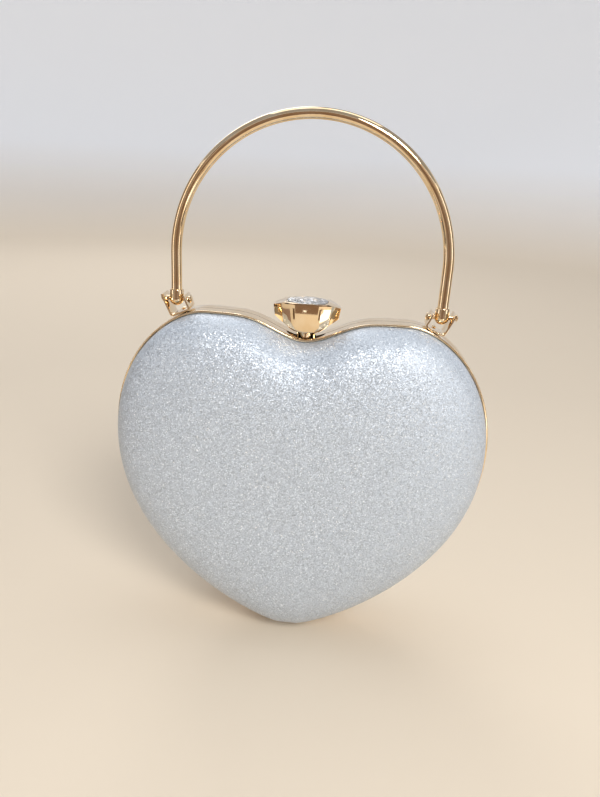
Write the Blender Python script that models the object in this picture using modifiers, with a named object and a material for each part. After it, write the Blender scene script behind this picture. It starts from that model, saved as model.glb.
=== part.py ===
"""Heart-shaped hard-case clutch with an arch handle and a jewelled press clasp.

Two domed shells sit in a gilt metal frame that is split all round its middle.
The halves are hinged under the tip and caught together in the notch, where a
faceted cup with a clear stone is pressed down to free the catch. An arch
handle swings on two pins, one in each strip bracket on the shoulders.

Metres, +Z up. X runs across the clutch, -Y is its front and +Y its back. The
origin is under the tip, in the middle of the hinge's lowest line.
"""
import math

import bmesh
import bpy
from mathutils import Matrix, Vector
from mathutils.geometry import interpolate_bezier

MM = 0.001

# Fits
GAP = 0.3 * MM              # between two pieces that seat on each other
BORE_PLAY = 0.1 * MM        # round a pin or post, on the radius
OVERRUN = 2.0 * MM          # how far a cutter passes what it cuts
WELD = 0.01 * MM            # points closer than this are one

# Frame outline
FRAME_WIDTH = 180.0 * MM
FRAME_HEIGHT = 164.0 * MM
NOTCH_DEPTH = 10.3 * MM
LOBE_SPACING = 93.0 * MM    # between the highest points of the two lobes
SIDE_HEIGHT = 102.6 * MM    # of the widest point above the tip
TIP_LAND = 9.0 * MM         # short flat under the tip, where the hinge sits
NOTCH_SLOPE = math.radians(24.0)
NOTCH_BEND_SHARES = (0.38, 0.59)    # of the lobe's distance, of the notch's depth
NOTCH_REACH_SHARES = (0.30, 0.40)   # Bezier handles on both sides of the bend
LOBE_REACH_SHARES = (0.39, 0.38)    # handles either side of the lobe's top
SIDE_REACH_SHARES = (0.664, 0.64)   # handles above and below the widest point
TIP_REACH_SHARE = 0.115             # handle at the tip, of the half width
OUTLINE_STEPS = (3, 3, 11, 10)      # notch, slope, shoulder, flank

# Frame section
HALF_DEPTH = 7.0 * MM       # one half of the frame, front to back
SPLIT = 0.3 * MM            # open line between the halves
BAND_WALL = 0.8 * MM
BAND_CHAMFER = 0.4 * MM
LIP_WIDTH = 1.0 * MM        # turned in over the shell's edge
LIP_THICKNESS = 1.2 * MM
TONGUE_THICKNESS = 0.9 * MM
TONGUE_REACH = 1.5 * MM     # past the split, into the front half
TONGUE_ROOT = 2.5 * MM

# Domed walls, from the outside in
DOME_DEPTH = 23.7 * MM
COVER_THICKNESS = 0.6 * MM
SHELL_THICKNESS = 1.6 * MM
LINING_THICKNESS = 0.6 * MM
COVER_TUCK = 1.8 * MM       # how far the cover runs in behind the lip's face
SHELL_TUCK = 2.1 * MM
DOME_CENTRE_HEIGHT = 85.0 * MM
DOME_PLAN_POWER = 0.5
DOME_RISE_POWER = 0.83
DOME_RING_ANGLES = (0.0, 20.0, 42.0, 62.0, 80.0)

# Hinge under the tip
KNUCKLE_RADIUS = 1.4 * MM
HINGE_PIN_RADIUS = 0.6 * MM
HINGE_PIN_HEAD = 0.6 * MM
HINGE_LENGTH = 11.0 * MM
HINGE_LEAF = 0.7 * MM
HINGE_LEAF_REACH = 6.0 * MM
MIDDLE_KNUCKLE = 4.4 * MM

# Handle
ROD_RADIUS = 2.6 * MM
HANDLE_LEG = 21.2 * MM      # straight part, from the pivot to the arch
BALL_RADIUS = 3.4 * MM
COLLAR_RADIUS = 3.2 * MM
COLLAR_HEIGHT = 0.8 * MM    # above the ball's top
ROD_SOCKET = 1.6 * MM       # how deep the rod sits in the collar

# Strip brackets and their pins
BRACKET_SHARE = 0.648       # where the strip lies, of the half width
BRACKET_INNER = 8.4 * MM
BRACKET_STRIP = 0.8 * MM
BRACKET_DEPTH = 10.4 * MM
BRACKET_CORNER = 1.3 * MM
PIN_HEIGHT = 6.2 * MM       # of the pin above the strip
ARM_ABOVE_PIN = 2.3 * MM
PIVOT_PIN_RADIUS = 1.1 * MM
PIVOT_HEAD_RADIUS = 1.9 * MM
PIVOT_HEAD_HEIGHT = 0.9 * MM
PIVOT_HEAD_FLAT_SHARE = 0.6
RIVET_RADIUS = 0.8 * MM
RIVET_HEAD_RADIUS = 1.4 * MM
RIVET_HEAD_HEIGHT = 0.6 * MM
RIVET_HEAD_FLAT_SHARE = 0.7

# Clasp head
CUP_WIDTH = 31.4 * MM
CUP_DEPTH = 15.6 * MM
CUP_HEIGHT = 14.1 * MM      # from the rim down to the neck
NECK_RADIUS = 4.2 * MM
NECK_CLEARANCE = 0.6 * MM   # round the neck where it passes the frame
NECK_SLOT_WIDTH = 18.4 * MM     # of the front half's wider cut-out
CUP_CLEARANCE = 1.8 * MM    # left under the cup when it is pressed home
CUP_PLAN_SHARES = ((0.33, 1.00), (0.455, 0.97), (0.66, 0.84), (1.00, 0.30))
CUP_PROFILE_SHARES = ((1.00, 0.00), (1.00, 0.05), (0.88, 1.00))
BOWL_PROFILE_SHARES = ((1.04, 0.42), (0.73, 0.70), (0.55, 0.88), (0.44, 0.96), (0.32, 1.00))
END_SLOPE = math.radians(20.0)      # of the rim's two ends, down from the stone
END_SLOPE_SHARE = 0.64              # where it begins, of the half width
STONE_WIDTH = 19.0 * MM
STONE_DEPTH = 12.4 * MM
STONE_CROWN = 1.4 * MM
STONE_SEAT = 2.4 * MM
STONE_GIRDLE = 0.3 * MM
STONE_SHARES = (0.55, 0.86, 0.60)   # table, upper crown and culet widths

# Clasp works inside the notch
PRESS_TRAVEL = 1.0 * MM     # how far the cup goes down to free the catch
POST_RADIUS = 2.0 * MM
POST_TIP_RADIUS = 1.4 * MM
SPRING_WIRE = 0.35 * MM
SPRING_RADIUS = 2.9 * MM
SPRING_TURNS = 4
SPRING_LENGTH = 4.6 * MM
CAGE_INNER = 10.0 * MM      # clear width between the cage's two cheeks
CAGE_WALL = 1.2 * MM
CAGE_FRONT = 3.2 * MM
CAGE_BACK = 4.5 * MM
NUT_RADIUS = 2.5 * MM
NUT_HEIGHT = 1.0 * MM
LEAF_WIDTH = 5.0 * MM
LEAF_THICKNESS = 0.6 * MM
LEAF_DROP = 6.8 * MM        # of the leaf below the cage's floor
TOOTH_Y = 3.2 * MM          # of the leaf's tooth in front of the post
TOOTH_HEIGHT = 2.0 * MM
STRIKER_WIDTH = 5.0 * MM
STRIKER_FOOT = 2.2 * MM     # of the head, past either end of the slot
STRIKER_YOKE = 1.8 * MM     # metal left under the pressed neck
STRIKER_THICKNESS = 0.8 * MM
STRIKER_Y = 4.1 * MM        # of the striker's leg in front of the post
HOOK_Y = 2.2 * MM           # of the hook that the tooth holds

# Facets
ROUND_STEPS = 20
SMALL_ROUND_STEPS = 12
BALL_RINGS = 8
ARCH_STEPS = 12             # of each quarter of the handle

# Worked out from the sizes above
TIP_RISE = 2 * KNUCKLE_RADIUS + GAP
HINGE_Z = KNUCKLE_RADIUS
NOTCH_Z = TIP_RISE + FRAME_HEIGHT - NOTCH_DEPTH
BRACKET_X = FRAME_WIDTH / 2 * BRACKET_SHARE
COVER_INSET = LIP_WIDTH + GAP
SHELL_INSET = COVER_INSET + COVER_THICKNESS + GAP
LINING_INSET = SHELL_INSET + SHELL_THICKNESS + GAP
TONGUE_OUTER = BAND_WALL + GAP
TONGUE_INNER = TONGUE_OUTER + TONGUE_THICKNESS
RIM_Z = NOTCH_Z + CUP_CLEARANCE + PRESS_TRAVEL + CUP_HEIGHT
NECK_BOTTOM_Z = NOTCH_Z - BAND_WALL
CAGE_FLOOR_Z = NECK_BOTTOM_Z - SPRING_LENGTH - 2 * GAP
LEAF_Z = CAGE_FLOOR_Z - CAGE_WALL - LEAF_DROP
HOOK_OVERLAP = PRESS_TRAVEL - GAP   # of hook and tooth, up and down

COLORS = {
    "gilt": ((0.80, 0.60, 0.36), 0.12, 1.0),
    "steel": ((0.60, 0.60, 0.62), 0.30, 1.0),
    "glitter": ((0.66, 0.68, 0.72), 0.40, 0.3),
    "shell": ((0.80, 0.80, 0.78), 0.55, 0.0),
    "lining": ((0.52, 0.48, 0.44), 0.85, 0.0),
    "stone": ((0.90, 0.93, 0.96), 0.05, 0.0),
}


def clear_scene():
    """Remove what the opened file holds."""
    for obj in list(bpy.data.objects):
        bpy.data.objects.remove(obj, do_unlink=True)


def make_collection(name):
    collection = bpy.data.collections.new(name)
    bpy.context.scene.collection.children.link(collection)
    return collection


def material(node, finish):
    """Give one node a Principled material of its own."""
    color, roughness, metallic = COLORS[finish]
    mat = bpy.data.materials.new(node)
    mat.use_nodes = True
    shader = mat.node_tree.nodes["Principled BSDF"]
    shader.inputs["Base Color"].default_value = (*color, 1.0)
    shader.inputs["Roughness"].default_value = roughness
    shader.inputs["Metallic"].default_value = metallic
    return mat


class Builder:
    """Holds the two collections and makes objects in them."""

    def __init__(self):
        self.parts = make_collection("heart_clutch")
        self.cutters = make_collection("cutters")

    def part(self, name, mesh, finish, matrix=None):
        obj = bpy.data.objects.new(name, mesh)
        obj.data.materials.append(material(name, finish))
        if matrix is not None:
            obj.matrix_world = matrix
        self.parts.objects.link(obj)
        return obj

    def cutter(self, name, mesh, matrix=None):
        obj = bpy.data.objects.new(name, mesh)
        if matrix is not None:
            obj.matrix_world = matrix
        obj.hide_render = True
        obj.display_type = "WIRE"
        self.cutters.objects.link(obj)
        return obj


def finish_mesh(bm, name):
    """Turn a bmesh into a mesh whose faces point out."""
    bmesh.ops.recalc_face_normals(bm, faces=bm.faces)
    mesh = bpy.data.meshes.new(name)
    bm.to_mesh(mesh)
    bm.free()
    return mesh


def shade_round(obj, angle=math.radians(35.0)):
    obj.data.shade_smooth()
    obj.data.set_sharp_from_angle(angle=angle)


def boolean(obj, other, operation="DIFFERENCE"):
    modifier = obj.modifiers.new(other.name, "BOOLEAN")
    modifier.operation = operation
    modifier.object = other
    modifier.solver = "EXACT"
    return modifier


def closed_pairs(items):
    """Pair each item with the next, and the last with the first."""
    return list(zip(items, items[1:] + items[:1]))


def first_loop(bm, points):
    """Add a closed loop of edges and return its vertices in order."""
    verts = [bm.verts.new(point) for point in points]
    for pair in closed_pairs(verts):
        bm.edges.new(pair)
    return verts


def next_loop(bm, loop, points):
    """Extrude a closed loop to new points and return its new vertices in order."""
    edges = [bm.edges.get(pair) for pair in closed_pairs(loop)]
    made = bmesh.ops.extrude_edge_only(bm, edges=edges)["geom"]
    grown = {item for item in made if isinstance(item, bmesh.types.BMVert)}
    verts = []
    for vert, point in zip(loop, points):
        ends = [edge.other_vert(vert) for edge in vert.link_edges]
        verts.append(next(end for end in ends if end in grown))
        verts[-1].co = point
    return verts


def loft(bm, loops):
    """Extrude from loop to loop of points; return the first and last vertices."""
    first = first_loop(bm, loops[0])
    last = first
    for points in loops[1:]:
        last = next_loop(bm, last, points)
    return first, last


def box_mesh(name, low, high):
    """Make a block between two corners."""
    bm = bmesh.new()
    bmesh.ops.create_cube(bm, size=1)
    span = [b - a for a, b in zip(low, high)]
    centre = [(a + b) / 2 for a, b in zip(low, high)]
    bmesh.ops.scale(bm, vec=span, verts=bm.verts)
    bmesh.ops.translate(bm, vec=centre, verts=bm.verts)
    return finish_mesh(bm, name)


def cylinder_mesh(name, radius, length, steps=ROUND_STEPS):
    bm = bmesh.new()
    bmesh.ops.create_cone(bm, cap_ends=True, segments=steps, radius1=radius,
                          radius2=radius, depth=length)
    return finish_mesh(bm, name)


def profile_mesh(name, profile):
    """Draw a profile of (radius, height) points, given from top to bottom."""
    bm = bmesh.new()
    verts = [bm.verts.new((radius, 0, height)) for radius, height in profile]
    for pair in zip(verts, verts[1:]):
        bm.edges.new(pair)
    mesh = bpy.data.meshes.new(name)
    bm.to_mesh(mesh)
    bm.free()
    return mesh


def add_screw(obj, steps=ROUND_STEPS):
    """Turn the object's profile once about its own Z."""
    screw = obj.modifiers.new("turn", "SCREW")
    screw.axis = "Z"
    screw.steps = steps
    screw.render_steps = steps
    screw.use_merge_vertices = True
    screw.merge_threshold = WELD
    screw.use_smooth_shade = True
    return screw


def strip_mesh(name, path, width):
    """Draw a bent strip's middle surface from a path in the XZ plane."""
    bm = bmesh.new()
    rails = [[bm.verts.new((x, y, z)) for x, z in path]
             for y in (-width / 2, width / 2)]
    for i in range(len(path) - 1):
        bm.faces.new((rails[0][i], rails[0][i + 1], rails[1][i + 1], rails[1][i]))
    mesh = bpy.data.meshes.new(name)
    bm.to_mesh(mesh)
    bm.free()
    return mesh


def add_thickness(obj, thickness, offset=0.0):
    solid = obj.modifiers.new("thickness", "SOLIDIFY")
    solid.thickness = thickness
    solid.offset = offset
    solid.use_even_offset = True
    return solid


# Frame outline


def curve_points(start, first, second, end, steps):
    """Read a Bezier span, leaving out its last point."""
    knots = [Vector((x, z)) for x, z in (start, first, second, end)]
    return interpolate_bezier(*knots, steps + 1)[:-1]


def half_outline():
    """Right half of the outline, from the notch round to the tip."""
    side = FRAME_WIDTH / 2
    top = FRAME_HEIGHT
    notch = Vector((0, top - NOTCH_DEPTH))
    lobe_x = LOBE_SPACING / 2
    bend = Vector((lobe_x * NOTCH_BEND_SHARES[0],
                   notch.y + NOTCH_DEPTH * NOTCH_BEND_SHARES[1]))
    lobe = Vector((lobe_x, top))
    slope = Vector((math.cos(NOTCH_SLOPE), math.sin(NOTCH_SLOPE)))
    level = Vector((1, 0))
    notch_reach = (bend - notch).length
    slope_reach = (lobe - bend).length
    widest = Vector((side, SIDE_HEIGHT))
    tip = Vector((TIP_LAND / 2, 0))
    spans = (
        (notch, notch + level * notch_reach * NOTCH_REACH_SHARES[0],
         bend - slope * notch_reach * NOTCH_REACH_SHARES[1], bend),
        (bend, bend + slope * slope_reach * NOTCH_REACH_SHARES[1],
         lobe - level * lobe_x * LOBE_REACH_SHARES[0], lobe),
        (lobe, lobe + level * (side - lobe_x) * LOBE_REACH_SHARES[1],
         widest + Vector((0, (top - SIDE_HEIGHT) * SIDE_REACH_SHARES[0])), widest),
        (widest, widest - Vector((0, SIDE_HEIGHT * SIDE_REACH_SHARES[1])),
         tip + level * side * TIP_REACH_SHARE, tip),
    )
    points = []
    for span, steps in zip(spans, OUTLINE_STEPS):
        points += curve_points(*span, steps)
    return points + [tip]


def outline(inset=0.0):
    """Whole outline as (x, z) points, clockwise from the notch, moved inwards."""
    right = half_outline()
    left = [Vector((-p.x, p.y)) for p in reversed(right[1:])]
    loop = right + left
    lifted = [p + Vector((0, TIP_RISE)) for p in loop]
    moved = []
    for i, point in enumerate(lifted):
        before = (point - lifted[i - 1]).normalized()
        after = (lifted[(i + 1) % len(lifted)] - point).normalized()
        along = (before + after).normalized()
        inward = Vector((along.y, -along.x))
        moved.append(point + inward * inset / along.dot(after))
    return moved


def shoulder_seat():
    """Where the right bracket lies: a point on the band and its outward normal."""
    points = outline()
    for a, b in zip(points, points[1:]):
        if a.x <= BRACKET_X <= b.x and a.y > SIDE_HEIGHT:
            share = (BRACKET_X - a.x) / (b.x - a.x)
            along = (b - a).normalized()
            return a.lerp(b, share), Vector((-along.y, along.x))
    raise ValueError("BRACKET_SHARE lies outside the lobe")


def pivot_point():
    """Centre of the right pivot pin, as (x, z)."""
    seat, normal = shoulder_seat()
    return seat + normal * (GAP + BRACKET_STRIP + PIN_HEIGHT)


# Frame halves


def band_mesh(name, section, side):
    """Sweep a closed section of (inset, depth) points round the outline."""
    loops = [[(p.x, side * depth, p.y) for p in outline(inset)] for inset, depth in section]
    bm = bmesh.new()
    loft(bm, loops + loops[:1])
    bmesh.ops.remove_doubles(bm, verts=bm.verts, dist=WELD)
    return finish_mesh(bm, name)


def frame_section():
    """The band and the lip that turns in over the shell, both halves alike."""
    face = HALF_DEPTH
    return [(0, SPLIT / 2), (0, face - BAND_CHAMFER), (BAND_CHAMFER, face),
            (LIP_WIDTH, face), (LIP_WIDTH, face - LIP_THICKNESS),
            (BAND_WALL, face - LIP_THICKNESS)]


def slot_mesh(name, width, height):
    """Round cutter for the neck, pulled out sideways to a slot of this width."""
    mesh = cylinder_mesh(name, NECK_RADIUS + NECK_CLEARANCE, height)
    mesh.transform(Matrix.Rotation(math.pi / ROUND_STEPS, 4, "Z"))
    pull = width / 2 - NECK_RADIUS - NECK_CLEARANCE
    for vert in mesh.vertices:
        vert.co.x += math.copysign(pull, vert.co.x)
    return mesh


def inner_room(builder, name, inset):
    """Block that fills the frame's inside, to seat pieces against the band."""
    reach = HALF_DEPTH + OVERRUN
    bm = bmesh.new()
    for end in loft(bm, [[(p.x, y, p.y) for p in outline(inset)] for y in (-reach, reach)]):
        bmesh.ops.contextual_create(bm, geom=end)
    return builder.cutter(name, finish_mesh(bm, name))


def build_frames(builder):
    """Both frame halves; the rear one carries the tongue that closes the split."""
    front_section = frame_section() + [(BAND_WALL, SPLIT / 2)]
    rear_section = frame_section() + [
        (BAND_WALL, TONGUE_ROOT), (TONGUE_INNER, TONGUE_ROOT),
        (TONGUE_INNER, -TONGUE_REACH), (TONGUE_OUTER, -TONGUE_REACH),
        (TONGUE_OUTER, SPLIT / 2)]
    front = builder.part("front_frame", band_mesh("front_frame", front_section, -1), "gilt")
    rear = builder.part("rear_frame", band_mesh("rear_frame", rear_section, 1), "gilt")
    height = 2 * (TONGUE_INNER + OVERRUN)
    place = Matrix.Translation((0, 0, NOTCH_Z))
    hole = cylinder_mesh("neck_hole", NECK_RADIUS + NECK_CLEARANCE, height)
    slot = slot_mesh("neck_slot", NECK_SLOT_WIDTH, height + 2 * NOTCH_DEPTH)
    boolean(rear, builder.cutter("neck_hole", hole, place))
    boolean(front, builder.cutter("neck_slot", slot, place))
    for obj in (front, rear):
        shade_round(obj)


# Domed walls


def dome_mesh(name, inset, edge, side):
    """Draw one domed wall's outer surface: a straight skirt, then rounding rings."""
    base = outline(inset)
    centre = Vector((0, DOME_CENTRE_HEIGHT + TIP_RISE))
    mean_radius = (FRAME_WIDTH + FRAME_HEIGHT) / 4 - inset
    depth = DOME_DEPTH - (inset - COVER_INSET)
    loops = [[(p.x, side * edge, p.y) for p in base]]
    for angle in DOME_RING_ANGLES:
        turn = math.radians(angle)
        size = math.cos(turn) ** DOME_PLAN_POWER
        y = side * (HALF_DEPTH + depth * math.sin(turn) ** DOME_RISE_POWER)
        points = []
        for p in base:
            spoke = p - centre
            rounded = spoke.lerp(spoke.normalized() * mean_radius, 1 - size)
            point = centre + rounded * size
            points.append((point.x, y, point.y))
        loops.append(points)
    bm = bmesh.new()
    last = loft(bm, loops)[1]
    cap = bmesh.ops.contextual_create(bm, geom=last)["faces"]
    crown = bmesh.ops.poke(bm, faces=cap)["verts"]
    crown[0].co = (0, side * (HALF_DEPTH + depth), centre.y)
    bmesh.ops.recalc_face_normals(bm, faces=bm.faces)
    crown_face = crown[0].link_faces[0]
    crown_face.normal_update()
    if crown_face.normal.y * side < 0:
        bmesh.ops.reverse_faces(bm, faces=bm.faces)
    mesh = bpy.data.meshes.new(name)
    bm.to_mesh(mesh)
    bm.free()
    return mesh


def build_walls(builder):
    """Cover, shell and lining of each half, one inside the other."""
    layers = (
        ("cover", COVER_INSET, COVER_THICKNESS, COVER_TUCK, "glitter"),
        ("shell", SHELL_INSET, SHELL_THICKNESS, SHELL_TUCK, "shell"),
        ("lining", LINING_INSET, LINING_THICKNESS, SHELL_TUCK, "lining"),
    )
    for half, side in (("front", -1), ("rear", 1)):
        for layer, inset, thickness, tuck, finish in layers:
            name = f"{half}_{layer}"
            mesh = dome_mesh(name, inset, HALF_DEPTH - tuck, side)
            obj = builder.part(name, mesh, finish)
            add_thickness(obj, thickness, offset=-1.0)
            shade_round(obj)


# Hinge


def build_hinge(builder):
    """Two leaves under the tip, their knuckles, and the pin through them."""
    top = 2 * KNUCKLE_RADIUS
    half = HINGE_LENGTH / 2
    middle = MIDDLE_KNUCKLE / 2
    spans = {
        "front": ((-middle, middle),),
        "rear": ((-half, -middle - GAP), (middle + GAP, half)),
    }
    along_x = Matrix.Rotation(math.pi / 2, 4, "Y")
    axis = Matrix.Translation((0, 0, HINGE_Z))
    bore = cylinder_mesh("hinge_bore", HINGE_PIN_RADIUS + BORE_PLAY,
                         HINGE_LENGTH + 2 * OVERRUN, SMALL_ROUND_STEPS)
    bore_cutter = builder.cutter("hinge_bore", bore, axis @ along_x)
    root = KNUCKLE_RADIUS + GAP
    for half_name, side in (("front", -1), ("rear", 1)):
        name = f"{half_name}_hinge_leaf"
        ends = sorted((side * root, side * HINGE_LEAF_REACH))
        plate = box_mesh(name, (-half, ends[0], top - HINGE_LEAF), (half, ends[1], top))
        leaf = builder.part(name, plate, "gilt")
        for i, (low, high) in enumerate(spans[half_name]):
            reach = sorted((0, side * (root + HINGE_LEAF)))
            tab = box_mesh("tab", (low, reach[0], top - HINGE_LEAF), (high, reach[1], top))
            boolean(leaf, builder.cutter(f"{name}_tab_{i}", tab), "UNION")
            barrel = cylinder_mesh("barrel", KNUCKLE_RADIUS, high - low, SMALL_ROUND_STEPS)
            place = Matrix.Translation(((low + high) / 2, 0, HINGE_Z))
            barrel_obj = builder.cutter(f"{name}_barrel_{i}", barrel, place @ along_x)
            boolean(leaf, barrel_obj, "UNION")
        boolean(leaf, bore_cutter)
    end = half + GAP
    head = HINGE_PIN_RADIUS + HINGE_PIN_HEAD / 2
    profile = [(0, end + HINGE_PIN_HEAD), (head, end + HINGE_PIN_HEAD), (head, end),
               (HINGE_PIN_RADIUS, end), (HINGE_PIN_RADIUS, -end), (head, -end),
               (head, -end - HINGE_PIN_HEAD), (0, -end - HINGE_PIN_HEAD)]
    pin = builder.part("hinge_pin", profile_mesh("hinge_pin", profile), "steel", axis @ along_x)
    add_screw(pin, SMALL_ROUND_STEPS)


# Handle


def rod_mesh(name, pivot, leg_start):
    """Bend the handle's rod: two legs and a half circle, as a capped curve."""
    curve = bpy.data.curves.new(name, "CURVE")
    curve.dimensions = "3D"
    curve.bevel_depth = ROD_RADIUS
    curve.bevel_resolution = 4
    curve.use_fill_caps = True
    curve.resolution_u = ARCH_STEPS
    curve.render_resolution_u = 0
    spline = curve.splines.new("BEZIER")
    radius = pivot.x
    arch_z = pivot.y + HANDLE_LEG
    kappa = 4 / 3 * math.tan(math.pi / 8)
    reach = radius * kappa
    leg_reach = (arch_z - leg_start) / 3
    knots = (
        ((-radius, leg_start), (-radius, leg_start - leg_reach), (-radius, leg_start + leg_reach)),
        ((-radius, arch_z), (-radius, arch_z - leg_reach), (-radius, arch_z + reach)),
        ((0, arch_z + radius), (-reach, arch_z + radius), (reach, arch_z + radius)),
        ((radius, arch_z), (radius, arch_z + reach), (radius, arch_z - leg_reach)),
        ((radius, leg_start), (radius, leg_start + leg_reach), (radius, leg_start - leg_reach)),
    )
    spline.bezier_points.add(len(knots) - 1)
    for point, (knot, left, right) in zip(spline.bezier_points, knots):
        point.co = (knot[0], 0, knot[1])
        point.handle_left = (left[0], 0, left[1])
        point.handle_right = (right[0], 0, right[1])
    carrier = bpy.data.objects.new(name, curve)
    bpy.context.scene.collection.objects.link(carrier)
    bpy.context.view_layer.update()
    graph = bpy.context.evaluated_depsgraph_get()
    mesh = bpy.data.meshes.new_from_object(carrier.evaluated_get(graph))
    bpy.data.objects.remove(carrier, do_unlink=True)
    bpy.data.curves.remove(curve)
    bm = bmesh.new()
    bm.from_mesh(mesh)
    bmesh.ops.remove_doubles(bm, verts=bm.verts, dist=WELD)
    bmesh.ops.recalc_face_normals(bm, faces=bm.faces)
    bm.to_mesh(mesh)
    bm.free()
    mesh.name = name
    return mesh


def ball_profile():
    """Ball with a collar on top that takes the rod, from the socket down."""
    neck_angle = math.asin(COLLAR_RADIUS / BALL_RADIUS)
    collar_foot = BALL_RADIUS * math.cos(neck_angle)
    collar_top = BALL_RADIUS + COLLAR_HEIGHT
    floor = collar_top - ROD_SOCKET
    bore = ROD_RADIUS + GAP
    profile = [(0, floor), (bore, floor), (bore, collar_top), (COLLAR_RADIUS, collar_top),
               (COLLAR_RADIUS, collar_foot)]
    for i in range(1, BALL_RINGS):
        angle = neck_angle + (math.pi - neck_angle) * i / BALL_RINGS
        profile.append((BALL_RADIUS * math.sin(angle), BALL_RADIUS * math.cos(angle)))
    return profile + [(0, -BALL_RADIUS)]


def build_handle(builder):
    """The arch and the two ball ends that turn on the pivot pins."""
    pivot = pivot_point()
    rod_start = pivot.y + BALL_RADIUS + COLLAR_HEIGHT - ROD_SOCKET + GAP
    origin = Matrix.Translation((0, 0, pivot.y))
    mesh = rod_mesh("handle_arch", pivot, rod_start)
    mesh.transform(origin.inverted())
    arch = builder.part("handle_arch", mesh, "gilt", origin)
    shade_round(arch)
    along_x = Matrix.Rotation(math.pi / 2, 4, "Y")
    bore = cylinder_mesh("pivot_bore", PIVOT_PIN_RADIUS + BORE_PLAY,
                         2 * (BALL_RADIUS + OVERRUN), SMALL_ROUND_STEPS)
    for side_name, side in (("left", -1), ("right", 1)):
        place = Matrix.Translation((side * pivot.x, 0, pivot.y))
        name = f"handle_ball_{side_name}"
        ball = builder.part(name, profile_mesh(name, ball_profile()), "gilt", place)
        add_screw(ball)
        boolean(ball, builder.cutter(f"{name}_bore", bore, place @ along_x))


# Brackets


def rounded_path(corners, radius, steps=3):
    """Round the inner corners of a path of (x, z) points."""
    path = [Vector(corners[0])]
    for before, corner, after in zip(corners, corners[1:], corners[2:]):
        corner = Vector(corner)
        to_before = (Vector(before) - corner).normalized() * radius
        to_after = (Vector(after) - corner).normalized() * radius
        first, second = corner + to_before, corner + to_after
        path += interpolate_bezier(first, first - to_before / 2, second - to_after / 2,
                                   second, steps + 1)
    return path + [Vector(corners[-1])]


def headed_profile(shank, ends, head_radius, head_height, flat_share):
    """Pin with a coned head at both ends; ends are the heads' inner faces."""
    top, bottom = ends
    flat = head_radius * flat_share
    edge = head_height / 2
    return [(0, top + head_height), (flat, top + head_height), (head_radius, top + edge),
            (head_radius, top), (shank, top), (shank, bottom), (head_radius, bottom),
            (head_radius, bottom - edge), (flat, bottom - head_height),
            (0, bottom - head_height)]


def build_brackets(builder):
    """A strip bracket, its rivet and its pin on each shoulder."""
    seat, normal = shoulder_seat()
    pivot = pivot_point()
    tilt = math.atan2(normal.x, normal.y)
    half = (BRACKET_INNER + BRACKET_STRIP) / 2
    middle = BRACKET_STRIP / 2
    top = BRACKET_STRIP + PIN_HEIGHT + ARM_ABOVE_PIN
    offset = half * math.tan(tilt)
    corners = [(-half, top - offset), (-half, middle), (half, middle), (half, top + offset)]
    path = rounded_path(corners, BRACKET_CORNER)
    along_x = Matrix.Rotation(math.pi / 2, 4, "Y")
    reach = half / math.cos(tilt) + BRACKET_STRIP
    end = reach + BRACKET_STRIP / 2 + GAP
    pin_profile = headed_profile(PIVOT_PIN_RADIUS, (end, -end), PIVOT_HEAD_RADIUS,
                                 PIVOT_HEAD_HEIGHT, PIVOT_HEAD_FLAT_SHARE)
    hole = cylinder_mesh("pin_hole", PIVOT_PIN_RADIUS + BORE_PLAY,
                         2 * (reach + OVERRUN), SMALL_ROUND_STEPS)
    rivet_ends = (BRACKET_STRIP + GAP, -GAP - TONGUE_INNER - GAP)
    rivet_profile = headed_profile(RIVET_RADIUS, rivet_ends, RIVET_HEAD_RADIUS,
                                   RIVET_HEAD_HEIGHT, RIVET_HEAD_FLAT_SHARE)
    rivet_hole = cylinder_mesh("rivet_hole", RIVET_RADIUS + BORE_PLAY,
                               2 * (BRACKET_STRIP + GAP + TONGUE_INNER + OVERRUN),
                               SMALL_ROUND_STEPS)
    rear_frame = bpy.data.objects["rear_frame"]
    rivet_y = (BRACKET_DEPTH / 2 + SPLIT / 2) / 2
    foot = seat + normal * GAP
    for side_name, side in (("left", -1), ("right", 1)):
        name = f"bracket_{side_name}"
        place = (Matrix.Translation((side * foot.x, 0, foot.y))
                 @ Matrix.Rotation(side * tilt, 4, "Y"))
        bent = strip_mesh(name, [(side * x, z) for x, z in path], BRACKET_DEPTH)
        bracket = builder.part(name, bent, "gilt", place)
        add_thickness(bracket, BRACKET_STRIP)
        pin_place = Matrix.Translation((side * pivot.x, 0, pivot.y)) @ along_x
        boolean(bracket, builder.cutter(f"{name}_pin_hole", hole, pin_place))
        pin_name = f"pivot_pin_{side_name}"
        pin = builder.part(pin_name, profile_mesh(pin_name, pin_profile), "gilt", pin_place)
        add_screw(pin, SMALL_ROUND_STEPS)
        rivet_place = place @ Matrix.Translation((0, rivet_y, 0))
        hole_obj = builder.cutter(f"{name}_rivet_hole", rivet_hole, rivet_place)
        boolean(bracket, hole_obj)
        boolean(rear_frame, hole_obj)
        rivet_name = f"bracket_rivet_{side_name}"
        rivet = builder.part(rivet_name, profile_mesh(rivet_name, rivet_profile), "gilt",
                             rivet_place)
        add_screw(rivet, SMALL_ROUND_STEPS)


# Clasp


def plan_points(width, depth, z):
    """Sixteen-sided plan with narrow corner facets, at one height."""
    quarter = [(x * width / 2, y * depth / 2) for x, y in CUP_PLAN_SHARES]
    right = [(x, y) for x, y in quarter] + [(x, -y) for x, y in reversed(quarter)]
    left = [(-x, -y) for x, y in right]
    return [(x, y, z) for x, y in right + left]


def faceted_mesh(name, levels):
    """Loft the faceted plan through levels of (width, depth, height), capped."""
    bm = bmesh.new()
    for end in loft(bm, [plan_points(*level) for level in levels]):
        bmesh.ops.contextual_create(bm, geom=end)
    return finish_mesh(bm, name)


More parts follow.
